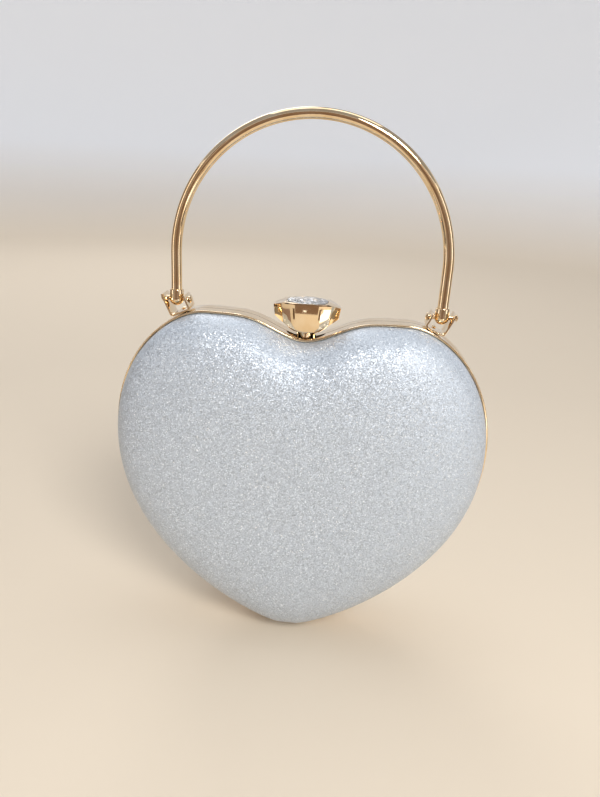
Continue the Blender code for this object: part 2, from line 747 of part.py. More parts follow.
def stone_levels(grow=0.0):
    """Table, crown, girdle and pavilion of the stone, or of its seat."""
    width = STONE_WIDTH + 2 * grow
    depth = STONE_DEPTH + 2 * grow
    table, crown, culet = STONE_SHARES
    return [
        (width * table, depth * table, RIM_Z + STONE_CROWN + grow),
        (width * crown, depth * crown, RIM_Z + STONE_CROWN / 2 + grow),
        (width, depth, RIM_Z + STONE_GIRDLE + grow),
        (width, depth, RIM_Z - STONE_GIRDLE - grow),
        (width * culet, depth * culet, RIM_Z - STONE_SEAT - grow),
    ]


def bowl_profile():
    """Upright wall and round underside of the bowl that bounds the cup's facets."""
    side = [(CUP_WIDTH / 2 * width, RIM_Z - CUP_HEIGHT * drop)
            for width, drop in BOWL_PROFILE_SHARES]
    top = RIM_Z + OVERRUN
    return [(0, top), (side[0][0], top)] + side + [(0, side[-1][1])]


def build_clasp_head(builder):
    """The cup, its stone, and the post that screws up into the cup."""
    levels = [(CUP_WIDTH * width, CUP_DEPTH * width, RIM_Z - CUP_HEIGHT * drop)
              for width, drop in CUP_PROFILE_SHARES]
    cup = builder.part("clasp_cup", faceted_mesh("clasp_cup", levels), "gilt")
    bowl = builder.cutter("cup_bowl", profile_mesh("cup_bowl", bowl_profile()))
    add_screw(bowl)
    boolean(cup, bowl, "INTERSECT")
    slope = (Matrix.Translation((CUP_WIDTH / 2 * END_SLOPE_SHARE, 0, RIM_Z))
             @ Matrix.Rotation(END_SLOPE, 4, "Y"))
    for name, turn in (("right_slope", 0), ("left_slope", math.pi)):
        block = box_mesh(name, (-OVERRUN, -CUP_DEPTH, 0), (CUP_WIDTH, CUP_DEPTH, CUP_HEIGHT))
        boolean(cup, builder.cutter(name, block, Matrix.Rotation(turn, 4, "Z") @ slope))
    seat = builder.cutter("stone_seat", faceted_mesh("stone_seat", stone_levels(GAP)))
    boolean(cup, seat)
    neck_top = RIM_Z - CUP_HEIGHT - GAP
    builder.part("clasp_stone", faceted_mesh("clasp_stone", stone_levels()), "stone")
    tip_z = LEAF_Z + LEAF_THICKNESS / 2 + GAP
    nut_top = CAGE_FLOOR_Z - CAGE_WALL - GAP
    nut_bottom = nut_top - NUT_HEIGHT
    profile = [(0, neck_top), (NECK_RADIUS, neck_top), (NECK_RADIUS, NECK_BOTTOM_Z),
               (POST_RADIUS, NECK_BOTTOM_Z), (POST_RADIUS, nut_top),
               (POST_TIP_RADIUS, nut_top), (POST_TIP_RADIUS, tip_z), (0, tip_z)]
    post = builder.part("clasp_post", profile_mesh("clasp_post", profile), "gilt")
    add_screw(post)
    bore = POST_TIP_RADIUS + GAP
    nut_profile = [(bore, nut_top - GAP), (NUT_RADIUS, nut_top - GAP), (NUT_RADIUS, nut_bottom),
                   (bore, nut_bottom), (bore, nut_top - GAP)]
    nut = builder.part("clasp_nut", profile_mesh("clasp_nut", nut_profile), "steel")
    add_screw(nut, SMALL_ROUND_STEPS)


def build_cage(builder):
    """Cage that guides the post, seated under the rear half's band and tongue."""
    outer = CAGE_INNER / 2 + CAGE_WALL
    low = CAGE_FLOOR_Z - CAGE_WALL
    top = NOTCH_Z + OVERRUN
    body = box_mesh("clasp_cage", (-outer, -CAGE_FRONT, low), (outer, CAGE_BACK, top))
    cage = builder.part("clasp_cage", body, "steel")
    boolean(cage, inner_room(builder, "under_tongue", TONGUE_INNER + GAP), "INTERSECT")
    lug = box_mesh("cage_lug", (-outer, TONGUE_ROOT + GAP, low), (outer, CAGE_BACK, top))
    lug_obj = builder.cutter("cage_lug", lug)
    boolean(lug_obj, bpy.data.objects["under_band"], "INTERSECT")
    boolean(cage, lug_obj, "UNION")
    room = box_mesh("cage_room", (-CAGE_INNER / 2, -CAGE_FRONT - OVERRUN, CAGE_FLOOR_Z),
                    (CAGE_INNER / 2, CAGE_BACK + OVERRUN, top + OVERRUN))
    boolean(cage, builder.cutter("cage_room", room))
    hole = cylinder_mesh("post_hole", POST_RADIUS + BORE_PLAY, 2 * (CAGE_WALL + OVERRUN))
    boolean(cage, builder.cutter("post_hole", hole, Matrix.Translation((0, 0, CAGE_FLOOR_Z))))


def build_striker(builder):
    """Hook of the front half: a head seated under the band, with a bent leg."""
    tooth_top = LEAF_Z + TOOTH_HEIGHT
    bridge_z = tooth_top + GAP + STRIKER_THICKNESS / 2
    neck_low = NECK_BOTTOM_Z - PRESS_TRAVEL - GAP
    head_low = neck_low - STRIKER_YOKE
    path = [(-STRIKER_Y, (neck_low + head_low) / 2), (-STRIKER_Y, bridge_z),
            (-HOOK_Y, bridge_z), (-HOOK_Y, tooth_top - HOOK_OVERLAP)]
    quarter = Matrix.Rotation(math.pi / 2, 4, "Z")
    leg = strip_mesh("catch_striker", rounded_path(path, STRIKER_THICKNESS / 2, 1),
                     STRIKER_WIDTH)
    striker = builder.part("catch_striker", leg, "steel", quarter)
    add_thickness(striker, STRIKER_THICKNESS)
    wide = NECK_SLOT_WIDTH / 2 + STRIKER_FOOT
    head = box_mesh("striker_head", (-wide, -STRIKER_Y - STRIKER_THICKNESS / 2, head_low),
                    (wide, -STRIKER_Y + STRIKER_THICKNESS / 2, NOTCH_Z + NOTCH_DEPTH))
    head_obj = builder.cutter("striker_head", head)
    boolean(head_obj, bpy.data.objects["under_band"], "INTERSECT")
    relief = slot_mesh("neck_relief", NECK_SLOT_WIDTH, 2 * NOTCH_DEPTH)
    place = Matrix.Translation((0, 0, neck_low + NOTCH_DEPTH))
    boolean(head_obj, builder.cutter("neck_relief", relief, place))
    boolean(striker, head_obj, "UNION")


def build_catch_leaf(builder):
    """Spring leaf under the cage, with the tooth that holds the striker's hook."""
    upright = CAGE_BACK - LEAF_THICKNESS
    flange_z = CAGE_FLOOR_Z - CAGE_WALL - GAP - LEAF_THICKNESS / 2
    path = [(NUT_RADIUS + GAP, flange_z), (upright, flange_z), (upright, LEAF_Z),
            (-TOOTH_Y, LEAF_Z), (-TOOTH_Y, LEAF_Z + TOOTH_HEIGHT)]
    bent = strip_mesh("catch_leaf", rounded_path(path, LEAF_THICKNESS, 2), LEAF_WIDTH)
    quarter = Matrix.Rotation(math.pi / 2, 4, "Z")
    add_thickness(builder.part("catch_leaf", bent, "steel", quarter), LEAF_THICKNESS)


def build_spring(builder):
    """Wind the spring between the cage's floor and the neck."""
    curve = bpy.data.curves.new("clasp_spring", "CURVE")
    curve.dimensions = "3D"
    curve.bevel_depth = SPRING_WIRE
    curve.bevel_resolution = 1
    curve.use_fill_caps = True
    curve.render_resolution_u = 0
    spline = curve.splines.new("POLY")
    steps = SPRING_TURNS * SMALL_ROUND_STEPS
    spline.points.add(steps)
    rise = SPRING_LENGTH - 2 * SPRING_WIRE
    for i, point in enumerate(spline.points):
        angle = 2 * math.pi * i / SMALL_ROUND_STEPS
        z = CAGE_FLOOR_Z + GAP + SPRING_WIRE + rise * i / steps
        point.co = (SPRING_RADIUS * math.cos(angle), SPRING_RADIUS * math.sin(angle), z, 1)
    spring = bpy.data.objects.new("clasp_spring", curve)
    curve.materials.append(material("clasp_spring", "steel"))
    builder.parts.objects.link(spring)


def main():
    clear_scene()
    builder = Builder()
    build_frames(builder)
    build_walls(builder)
    build_hinge(builder)
    build_handle(builder)
    build_brackets(builder)
    build_clasp_head(builder)
    inner_room(builder, "under_band", BAND_WALL + GAP)
    build_cage(builder)
    build_spring(builder)
    build_striker(builder)
    build_catch_leaf(builder)


main()
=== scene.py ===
"""Studio scene of a heart-shaped hard clutch in silver glitter and pale gilt metal.

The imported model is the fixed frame. Finer pieces stand for its visible nodes: the
domed glitter covers, the two halves of the gilt frame, the arch handle with its
ball ends, the strip brackets and the faceted press clasp with its clear stone.
Lengths are in metres, +Z is up and the clutch faces -Y.
"""
import logging
import math
from dataclasses import dataclass, field
from enum import Enum
from typing import Iterable, Sequence

import bmesh
import bpy
from bmesh.types import BMEdge, BMesh, BMFace, BMVert
from bpy.types import Material, Node, NodeSocket, Object
from mathutils import Matrix, Vector
from mathutils.geometry import interpolate_bezier


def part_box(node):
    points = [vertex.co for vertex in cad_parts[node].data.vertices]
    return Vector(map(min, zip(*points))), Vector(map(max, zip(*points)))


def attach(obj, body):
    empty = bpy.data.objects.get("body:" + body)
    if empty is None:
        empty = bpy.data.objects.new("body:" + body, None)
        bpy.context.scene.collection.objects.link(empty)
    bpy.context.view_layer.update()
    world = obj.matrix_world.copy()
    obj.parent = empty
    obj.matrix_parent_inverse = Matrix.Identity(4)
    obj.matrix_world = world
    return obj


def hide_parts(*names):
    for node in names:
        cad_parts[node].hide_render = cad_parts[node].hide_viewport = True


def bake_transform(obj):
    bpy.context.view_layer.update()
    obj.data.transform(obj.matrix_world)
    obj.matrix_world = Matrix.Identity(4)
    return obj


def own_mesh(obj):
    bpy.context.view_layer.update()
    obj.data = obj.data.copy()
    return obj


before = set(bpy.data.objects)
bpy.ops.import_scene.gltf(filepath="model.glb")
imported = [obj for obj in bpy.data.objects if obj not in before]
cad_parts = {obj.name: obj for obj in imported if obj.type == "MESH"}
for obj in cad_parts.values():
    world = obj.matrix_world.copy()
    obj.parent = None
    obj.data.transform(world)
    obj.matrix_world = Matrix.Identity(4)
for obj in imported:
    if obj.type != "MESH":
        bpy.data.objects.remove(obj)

MM = 0.001
WELD = 0.005 * MM
FULL_TURN = 2 * math.pi
ALONG_X = Matrix.Rotation(math.pi / 2, 4, "Y")
CORNER_ANGLE = math.radians(50)
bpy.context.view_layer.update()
log = logging.getLogger("clutch")


class Body(str, Enum):
    """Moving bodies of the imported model."""

    HANDLE = "handle"
    REAR = "rear_case"
    FRONT = "front_case"
    CLASP = "clasp"


class Slot(str, Enum):
    """Material slots of the record."""

    GILT = "gilt"
    STEEL = "steel"
    GLITTER = "glitter"
    LINING = "lining"
    STONE = "stone"


class Half(Enum):
    """The two halves of the case, with the direction each faces along Y."""

    FRONT = ("front", -1, Body.FRONT)
    REAR = ("rear", 1, Body.REAR)

    @property
    def label(self) -> str:
        """Word that the half's node names start with."""
        return self.value[0]

    @property
    def side(self) -> int:
        """-1 towards the front, 1 towards the back."""
        return self.value[1]

    @property
    def body(self) -> Body:
        """Body that the half's pieces ride on."""
        return self.value[2]


# Colours and shader nodes


def linear(hex_colour: str) -> tuple[float, float, float, float]:
    """Turn an sRGB hex colour to linear RGBA.

    Args:
        hex_colour: Six hex digits after a hash sign.

    Returns:
        Linear red, green and blue, and an alpha of 1.
    """
    parts = [int(hex_colour[i:i + 2], 16) / 255 for i in (1, 3, 5)]
    flat = [c / 12.92 if c <= 0.04045 else ((c + 0.055) / 1.055) ** 2.4 for c in parts]
    return (flat[0], flat[1], flat[2], 1.0)


def per_metre(size_mm: float) -> float:
    """Texture scale at which one cell or wave is size_mm across."""
    return 1.0 / (size_mm * MM)


@dataclass
class ShaderTree:
    """Node tree of one material, built round its Principled shader."""

    material: Material

    @classmethod
    def start(cls, name: str) -> "ShaderTree":
        """Make a material whose tree holds only a Principled shader and the output.

        Args:
            name: Name of the material.

        Returns:
            Its tree.
        """
        material = bpy.data.materials.new(name)
        material.use_nodes = True
        return cls(material)

    def feed(self, entry: NodeSocket, value: Node | NodeSocket | float | tuple) -> None:
        """Set an input, or link a socket or a node's first output to it.

        Args:
            entry: The input.
            value: What goes into it.
        """
        if isinstance(value, Node):
            value = value.outputs[0]
        if isinstance(value, NodeSocket):
            self.material.node_tree.links.new(value, entry)
        else:
            entry.default_value = value

    def node(self, kind: str, inputs: dict | Sequence = (), settings: dict | None = None,
             stops: Sequence[tuple[float, str]] = ()) -> Node:
        """Add a node with its settings and the links into it.

        Args:
            kind: Blender's node type, without the ShaderNode prefix.
            inputs: What goes into each input, by name or in the node's own order.
            settings: Attributes to set on the node.
            stops: Positions and hex colours of a colour ramp, in order.

        Returns:
            The new node.
        """
        made = self.material.node_tree.nodes.new(f"ShaderNode{kind}")
        for key, value in (settings or {}).items():
            setattr(made, key, value)
        for key, value in inputs.items() if isinstance(inputs, dict) else enumerate(inputs):
            self.feed(made.inputs[key], value)
        if stops:
            elements = made.color_ramp.elements
            while len(elements) < len(stops):
                elements.new(0.5)
            for element, (position, colour) in zip(elements, stops):
                element.position = position
                element.color = linear(colour)
        return made

    def leaning(self, cells: Node, tilt: float) -> Node:
        """Lean the surface of each cell of a Voronoi pattern its own way.

        Args:
            cells: The pattern, whose random colours give the directions.
            tilt: How far the cells lean.

        Returns:
            Node whose first output is the normal.
        """
        way = self.node("VectorMath", [cells.outputs["Color"], (0.5, 0.5, 0.5)],
                        {"operation": "SUBTRACT"})
        push = self.node("VectorMath", {0: way, "Scale": tilt}, {"operation": "SCALE"})
        level = self.node("NewGeometry").outputs["Normal"]
        leant = self.node("VectorMath", [push, level], {"operation": "ADD"})
        return self.node("VectorMath", [leant], {"operation": "NORMALIZE"})

    def coat(self, **inputs: Node | NodeSocket | float | tuple) -> Material:
        """Set or link the shader's inputs.

        Args:
            inputs: What goes into each input, named with underscores for spaces.

        Returns:
            The finished material.
        """
        shader = self.material.node_tree.nodes["Principled BSDF"]
        for key, value in inputs.items():
            self.feed(shader.inputs[key.replace("_", " ")], value)
        return self.material


# Finishes


@dataclass(frozen=True)
class Gilt:
    """Pale gold plate on polished zinc: a clean mirror with faint polishing haze."""

    name: str = "pale_gold_plated_zinc"
    colour: str = "#F0DBBA"
    warm: str = "#E8CCA2"
    roughness: tuple[float, float] = (0.0375, 0.0675)
    haze_mm: float = 9.0
    lines_mm: float = 0.6
    lines_depth: float = 0.01 * MM

    def material(self) -> Material:
        """Build the plated metal.

        Returns:
            The material.
        """
        t = ShaderTree.start(self.name)
        spot = t.node("TexCoord").outputs["Object"]
        haze = t.node("TexNoise", {"Vector": spot, "Scale": per_metre(self.haze_mm),
                                   "Detail": 3.0, "Roughness": 0.55})
        tone = t.node("ValToRGB", [haze], stops=((0.30, self.warm), (0.62, self.colour)))
        # Polishing leaves hairlines far finer than a pixel, so they are drawn wider
        lines = t.node("TexNoise", {"Vector": spot, "Scale": per_metre(self.lines_mm),
                                    "Detail": 2.0})
        rough = t.node("MapRange", [haze, 0.3, 0.7, *self.roughness])
        bump = t.node("Bump", {"Strength": 0.10, "Distance": self.lines_depth, "Height": lines})
        return t.coat(Base_Color=tone, Roughness=rough, Metallic=1.0, Normal=bump)


@dataclass(frozen=True)
class Glitter:
    """Silver glitter fabric: cut film flakes lying at all angles in clear resin."""

    name: str = "silver_glitter_fabric"
    shade: str = "#A7B0BB"
    body: str = "#C2CBD6"
    bright: str = "#E9F0F8"
    # White of the painted glints
    painted_glint_colour: str = "#FFFFFF"
    flake_mm: float = 0.37
    big_flake_mm: float = 0.85
    tilt: float = 0.58
    roughness: tuple[float, float] = (0.30, 0.56)
    metallic: tuple[float, float] = (0.08, 0.52)

    def material(self) -> Material:
        """Build the flakes as cells, each with its own brightness and slope.

        Returns:
            The material.
        """
        t = ShaderTree.start(self.name)
        spot = t.node("TexCoord").outputs["Object"]
        # Real flakes are 0.2 mm; they are drawn twice as wide to show in the picture
        fine = t.node("TexVoronoi", {"Vector": spot, "Scale": per_metre(self.flake_mm)})
        coarse = t.node("TexVoronoi", {"Vector": spot, "Scale": per_metre(self.big_flake_mm)})
        chance = t.node("SeparateColor", [fine.outputs["Color"]]).outputs
        rare = t.node("SeparateColor", [coarse.outputs["Color"]]).outputs
        tone = t.node("ValToRGB", [chance["Red"]],
                      stops=((0.0, self.shade), (0.45, self.body), (0.86, self.body),
                             (1.0, self.bright)))
        # One large flake in thirty is painted white: a painted glint, lit by no lamp
        glint_chance = t.node("MapRange", [rare["Green"], 0.955, 0.975, 0.0, 1.0])
        inside = t.node("MapRange", [coarse, 0.20, 0.34, 1.0, 0.0])
        spark = t.node("Math", [glint_chance, inside], {"operation": "MULTIPLY"})
        colour = t.node("Mix", {"Factor": spark, 6: tone, 7: linear(self.painted_glint_colour)},
                        {"data_type": "RGBA"})
        rough = t.node("MapRange", [chance["Blue"], 0.0, 1.0, *self.roughness])
        metal = t.node("MapRange", [chance["Green"], 0.2, 0.9, *self.metallic])
        return t.coat(Base_Color=colour.outputs[2], Roughness=rough, Metallic=metal,
                      Normal=t.leaning(fine, self.tilt), Coat_Weight=0.12,
                      Coat_Roughness=0.25)


@dataclass(frozen=True)
class Nickel:
    """Bright nickel on spring steel: grey and slightly satin from tumbling."""

    name: str = "nickel_plated_steel"
    colour: str = "#B9B6B0"
    shade: str = "#A5A29C"
    roughness: tuple[float, float] = (0.22, 0.36)
    grain_mm: float = 0.8
    grain_stretch: tuple[float, float, float] = (1.0, 1.0, 0.15)

    def material(self) -> Material:
        """Build the satin metal.

        Returns:
            The material.
        """
        t = ShaderTree.start(self.name)
        spot = t.node("Mapping", {"Vector": t.node("TexCoord").outputs["Object"],
                                  "Scale": self.grain_stretch})
        grain = t.node("TexNoise", {"Vector": spot, "Scale": per_metre(self.grain_mm),
                                    "Detail": 3.0})
        tone = t.node("ValToRGB", [grain], stops=((0.3, self.shade), (0.7, self.colour)))
        rough = t.node("MapRange", [grain, 0.3, 0.7, *self.roughness])
        return t.coat(Base_Color=tone, Metallic=1.0, Roughness=rough)


@dataclass(frozen=True)
class Velour:
    """Grey velour lining: short pile, with painted shade where the pile lies low."""

    name: str = "grey_velour_lining"
    # Colour of the painted shade low in the pile
    deep: str = "#8B8781"
    tip: str = "#B3AEA6"
    sheen: str = "#E8E4DC"
    tuft_mm: float = 0.7
    tuft_depth: float = 0.12 * MM
    sweep_mm: float = 26.0

    def material(self) -> Material:
        """Build the pile.

        Returns:
            The material.
        """
        t = ShaderTree.start(self.name)
        spot = t.node("TexCoord").outputs["Object"]
        pile = t.node("TexNoise", {"Vector": spot, "Scale": per_metre(self.tuft_mm),
                                   "Detail": 4.0, "Roughness": 0.7})
        sweep = t.node("TexNoise", {"Vector": spot, "Scale": per_metre(self.sweep_mm),
                                    "Detail": 1.0})
        # Painted shade: the colour darkens where the pile's height is low
        painted_tuft_shade = t.node("MapRange", [pile, 0.3, 0.7, 0.0, 0.7])
        brushed = t.node("MapRange", [sweep, 0.3, 0.7, 0.0, 0.16])
        both = t.node("Math", [painted_tuft_shade, brushed], {"operation": "ADD"})
        tone = t.node("ValToRGB", [both], stops=((0.15, self.deep), (0.85, self.tip)))
        bump = t.node("Bump", {"Strength": 0.6, "Distance": self.tuft_depth, "Height": pile})
        return t.coat(Base_Color=tone, Roughness=0.92, Sheen_Weight=0.5, Sheen_Roughness=0.4,
                      Sheen_Tint=linear(self.sheen), Normal=bump)


@dataclass(frozen=True)
class MouldedShell:
    """Injection-moulded ABS: dull off-white with a fine spark-eroded grain."""

    name: str = "moulded_abs"
    colour: str = "#D6D3CC"
    shade: str = "#CBC8C0"
    grain_mm: float = 0.5
    grain_depth: float = 0.03 * MM

    def material(self) -> Material:
        """Build the plastic.

        Returns:
            The material.
        """
        t = ShaderTree.start(self.name)
        grain = t.node("TexNoise", {"Vector": t.node("TexCoord").outputs["Object"],
                                    "Scale": per_metre(self.grain_mm), "Detail": 2.0})
        tone = t.node("ValToRGB", [grain], stops=((0.3, self.shade), (0.7, self.colour)))
        bump = t.node("Bump", {"Strength": 0.25, "Distance": self.grain_depth,
                               "Height": grain})
        return t.coat(Base_Color=tone, Roughness=0.48, Normal=bump)


@dataclass(frozen=True)
class CutGlass:
    """Clear cut glass over a silver foil, so that every facet answers the light."""

    name: str = "cut_glass"
    foil_name: str = "silver_foil"
    clear: str = "#FFFFFF"
    cool: str = "#F4F7FB"
    foil_shade: str = "#9DA2AB"
    ior: float = 1.58
    cloud_mm: float = 4.0
    cut_mm: float = 1.7
    cut_tilt: float = 0.5
    wrinkle_mm: float = 1.6

    def glass(self) -> Material:
        """Build the glass.

        Returns:
            The material.
        """
        t = ShaderTree.start(self.name)
        spot = t.node("TexCoord").outputs["Object"]
        cloud = t.node("TexNoise", {"Vector": spot, "Scale": per_metre(self.cloud_mm)})
        tone = t.node("ValToRGB", [cloud], stops=((0.3, self.cool), (0.7, self.clear)))
        # Facets too fine for the mesh: each cell leans its own way and answers on its own
        cuts = t.node("TexVoronoi", {"Vector": spot, "Scale": per_metre(self.cut_mm)})
        return t.coat(Base_Color=tone, Roughness=0.015, IOR=self.ior,
                      Transmission_Weight=0.80, Normal=t.leaning(cuts, self.cut_tilt))

    def foil(self) -> Material:
        """Build the wrinkled foil behind the pavilion.

        Returns:
            The material.
        """
        t = ShaderTree.start(self.foil_name)
        wrinkle = t.node("TexVoronoi", {"Vector": t.node("TexCoord").outputs["Object"],
                                        "Scale": per_metre(self.wrinkle_mm)})
        tone = t.node("ValToRGB", [wrinkle], stops=((0.1, self.clear), (0.8, self.foil_shade)))
        return t.coat(Base_Color=tone, Metallic=0.8, Roughness=0.12)


@dataclass(frozen=True)
class PaleBoard:
    """Matte painted board for the floor and the cove, warm below and cooler above."""

    name: str = "matte_painted_board"
    floor: str = "#E2D4C0"
    wall: str = "#F3F5F9"
    blend_height: float = 0.25
    lift: float = 0.2
    lift_reach: tuple[float, float] = (0.5, 1.7)

    def material(self) -> Material:
        """Build the paint.

        Returns:
            The material.
        """
        t = ShaderTree.start(self.name)
        spot = t.node("TexCoord").outputs["Object"]
        height = t.node("SeparateXYZ", [spot]).outputs["Z"]
        above = t.node("MapRange", [height, 0.0, self.blend_height, 0.0, 1.0])
        tone = t.node("ValToRGB", [above], stops=((0.0, self.floor), (1.0, self.wall)))
        # The wall stands far from the lamps; what the eye, metal and glass see is lifted
        rays = t.node("LightPath").outputs
        mirrored = t.node("Math", [rays["Is Glossy Ray"], rays["Is Transmission Ray"]],
                          {"operation": "MAXIMUM"})
        seen = t.node("Math", [rays["Is Camera Ray"], mirrored], {"operation": "MAXIMUM"})
        reach = t.node("VectorMath", [spot], {"operation": "LENGTH"}).outputs["Value"]
        paler = t.node("MapRange", [reach, *self.lift_reach, 0.0, self.lift])
        lift = t.node("Math", [paler, seen], {"operation": "MULTIPLY"})
        return t.coat(Base_Color=tone, Roughness=0.75, Specular_IOR_Level=0.25,
                      Emission_Color=tone, Emission_Strength=lift)


@dataclass(frozen=True)
class MatteCard:
    """Card that shows only in polished metal, a painted reflection; with a glow it glows though it
    is no lamp.
    """

    colour: str
    glow: float
    name: str = "reflection_only_card"

    def material(self) -> Material:
        """Build the flock.

        Returns:
            The material.
        """
        colour = linear(self.colour)
        t = ShaderTree.start(self.name)
        return t.coat(Base_Color=colour, Roughness=0.9, Specular_IOR_Level=0.1,
                      Emission_Color=colour, Emission_Strength=self.glow)


@dataclass
class Palette:
    """One material of each finish, shared by the pieces."""

    gilt: Material = field(default_factory=Gilt().material)
    glitter: Material = field(default_factory=Glitter().material)
    nickel: Material = field(default_factory=Nickel().material)
    lining: Material = field(default_factory=Velour().material)
    shell: Material = field(default_factory=MouldedShell().material)
    glass: Material = field(default_factory=CutGlass().glass)
    foil: Material = field(default_factory=CutGlass().foil)


# Mesh helpers


def pairs(items: Sequence) -> list[tuple]:
    """Pair each item with the next, and the last with the first."""
    return list(zip(items, [*items[1:], items[0]]))


def only(geometry: Iterable, kind: type) -> list:
    """Items of a bmesh operator's result that are of one kind."""
    return [item for item in geometry if isinstance(item, kind)]


def first_ring(bm: BMesh, points: Sequence) -> list[BMVert]:
    """Add a closed ring of edges.

    Args:
        bm: Mesh that the ring goes into.
        points: Places of its vertices in order.

    Returns:
        The ring's vertices in order.
    """
    verts = [bm.verts.new(point) for point in points]
    for pair in pairs(verts):
        bm.edges.new(pair)
    return verts


def next_ring(bm: BMesh, ring: Sequence[BMVert], points: Sequence) -> list[BMVert]:
    """Extrude a ring of edges and move the new ring to the points.

    Args:
        bm: Mesh that the ring is in.
        ring: Vertices of the ring in order.
        points: Where the new vertices go, in the same order.

    Returns:
        The new ring's vertices in order.
    """
    edges = [bm.edges.get(pair) for pair in pairs(ring)]
    grown = set(only(bmesh.ops.extrude_edge_only(bm, edges=edges)["geom"], BMVert))
    fresh = []
    for vert, point in zip(ring, points):
        ends = [edge.other_vert(vert) for edge in vert.link_edges]
        fresh.append(next(end for end in ends if end in grown))
        fresh[-1].co = point
    return fresh


def loft(bm: BMesh, rings: Sequence[Sequence]) -> tuple[list[BMVert], list[BMVert]]:
    """Extrude from ring to ring.

    Args:
        bm: Mesh that the rings go into.
        rings: Points of each ring, all of one length.

    Returns:
        Vertices of the first and of the last ring.
    """
    first = first_ring(bm, rings[0])
    last = first
    for points in rings[1:]:
        last = next_ring(bm, last, points)
    return first, last


def cap(bm: BMesh, ring: Sequence[BMVert]) -> BMFace:
    """Fill a ring with one face."""
    return bmesh.ops.contextual_create(bm, geom=list(ring))["faces"][0]


def outward(bm: BMesh) -> BMesh:
    """Merge a mesh's doubles and turn its faces outwards.

    Args:
        bm: The mesh, changed in place.

    Returns:
        The same mesh.
    """
    bmesh.ops.remove_doubles(bm, verts=bm.verts, dist=WELD)
    bmesh.ops.recalc_face_normals(bm, faces=bm.faces)
    return bm


def stacked(rings: Sequence[Sequence]) -> BMesh:
    """Loft rings to a solid with both ends closed.

    Args:
        rings: Points of each ring, from one end to the other.

    Returns:
        The solid, facing outwards.
    """
    bm = bmesh.new()
    for ring in loft(bm, rings):
        cap(bm, ring)
    return outward(bm)


def spun(points: Sequence, angle: float, steps: int) -> BMesh:
    """Spin a line about Z.

    Args:
        points: The line's points.
        angle: How far it turns, in radians; a full turn closes on itself.
        steps: Facets on the way.

    Returns:
        The surface.
    """
    bm = bmesh.new()
    verts = [bm.verts.new(point) for point in points]
    edges = [bm.edges.new(pair) for pair in zip(verts, verts[1:])]
    bmesh.ops.spin(bm, geom=verts + edges, cent=(0, 0, 0), axis=(0, 0, 1), dvec=(0, 0, 0),
                   angle=angle, steps=steps, use_merge=angle == FULL_TURN,
                   use_duplicate=False)
    return bm


def turned(profile: Sequence[tuple[float, float]], steps: int) -> BMesh:
    """Turn a shape on the lathe, about Z.

    Args:
        profile: Points as (radius, height), from one end to the other.
        steps: Facets round the axis.

    Returns:
        The shape, facing outwards.
    """
    return outward(spun([(radius, 0, height) for radius, height in profile], FULL_TURN, steps))


def to_object(bm: BMesh, name: str, place: Matrix | None = None) -> Object:
    """Make a linked object of a bmesh, which is freed.

    Args:
        bm: The mesh.
        name: Name of the object.
        place: Turn and shift of the mesh, or None where it is in its place.

    Returns:
        The object, which sits at the origin.
    """
    if place is not None:
        bmesh.ops.transform(bm, matrix=place, verts=bm.verts)
    mesh = bpy.data.meshes.new(name)
    bm.to_mesh(mesh)
    bm.free()
    made = bpy.data.objects.new(name, mesh)
    bpy.context.scene.collection.objects.link(made)
    return made


def block(size: Sequence[float], place: Matrix, name: str = "block") -> Object:
    """Make a box.

    Args:
        size: Its length along each axis.
        place: Turn and shift of its middle.
        name: Name of the object.

    Returns:
        The box.
    """
    bm = bmesh.new()
    bmesh.ops.create_cube(bm, size=1, matrix=place @ Matrix.Diagonal((*size, 1)))
    return to_object(bm, name)


def drill(radius: float, length: float, place: Matrix, segments: int) -> Object:
    """Make a round cutter.

    Args:
        radius: Its radius.
        length: Its length along the place's Z axis.
        place: Turn and shift of its middle.
        segments: Facets round it.

    Returns:
        The cutter.
    """
    bm = bmesh.new()
    bmesh.ops.create_cone(bm, cap_ends=True, segments=segments, radius1=radius,
                          radius2=radius, depth=length, matrix=place)
    return to_object(bm, "drill")


def bake(target: Object) -> Object:
    """Apply an object's modifiers to its mesh.

    Args:
        target: The object, changed in place.

    Returns:
        The same object.
    """
    bpy.context.view_layer.update()
    graph = bpy.context.evaluated_depsgraph_get()
    fresh = bpy.data.meshes.new_from_object(target.evaluated_get(graph))
    target.modifiers.clear()
    target.data = fresh
    return target


def carve(target: Object, tools: Sequence[Object], operation: str = "DIFFERENCE") -> None:
    """Apply Boolean modifiers to an object and remove the tools.

    Args:
        target: The object, changed in place.
        tools: Solids to cut with, join or keep within.
        operation: Blender's name of the operation.
    """
    for tool in tools:
        modifier = target.modifiers.new("cut", "BOOLEAN")
        modifier.operation = operation
        modifier.object = tool
        modifier.solver = "EXACT"
    bake(target)
    for tool in tools:
        bpy.data.objects.remove(tool, do_unlink=True)


def thicken(target: Object, thickness: float, offset: float) -> None:
    """Give a surface a live even thickness.

    Args:
        target: Object that holds the surface.
        thickness: Thickness of the wall.
        offset: -1 for a wall behind the surface, 0 for one with the surface in its middle.
    """
    modifier = target.modifiers.new("thickness", "SOLIDIFY")
    modifier.thickness = thickness
    modifier.offset = offset
    modifier.use_even_offset = True


def arc(centre: tuple[float, float], radius: float, start: float, end: float,
        steps: int) -> list[tuple[float, float]]:
    """Points on an arc.

    Args:
        centre: Middle of the arc.
        radius: Its radius.
        start: First angle in degrees, from the first axis.
        end: Last angle in degrees.
        steps: Number of chords.

    Returns:
        steps + 1 points.
    """
    angles = [math.radians(start + (end - start) * i / steps) for i in range(steps + 1)]
    return [(centre[0] + radius * math.cos(a), centre[1] + radius * math.sin(a))
            for a in angles]


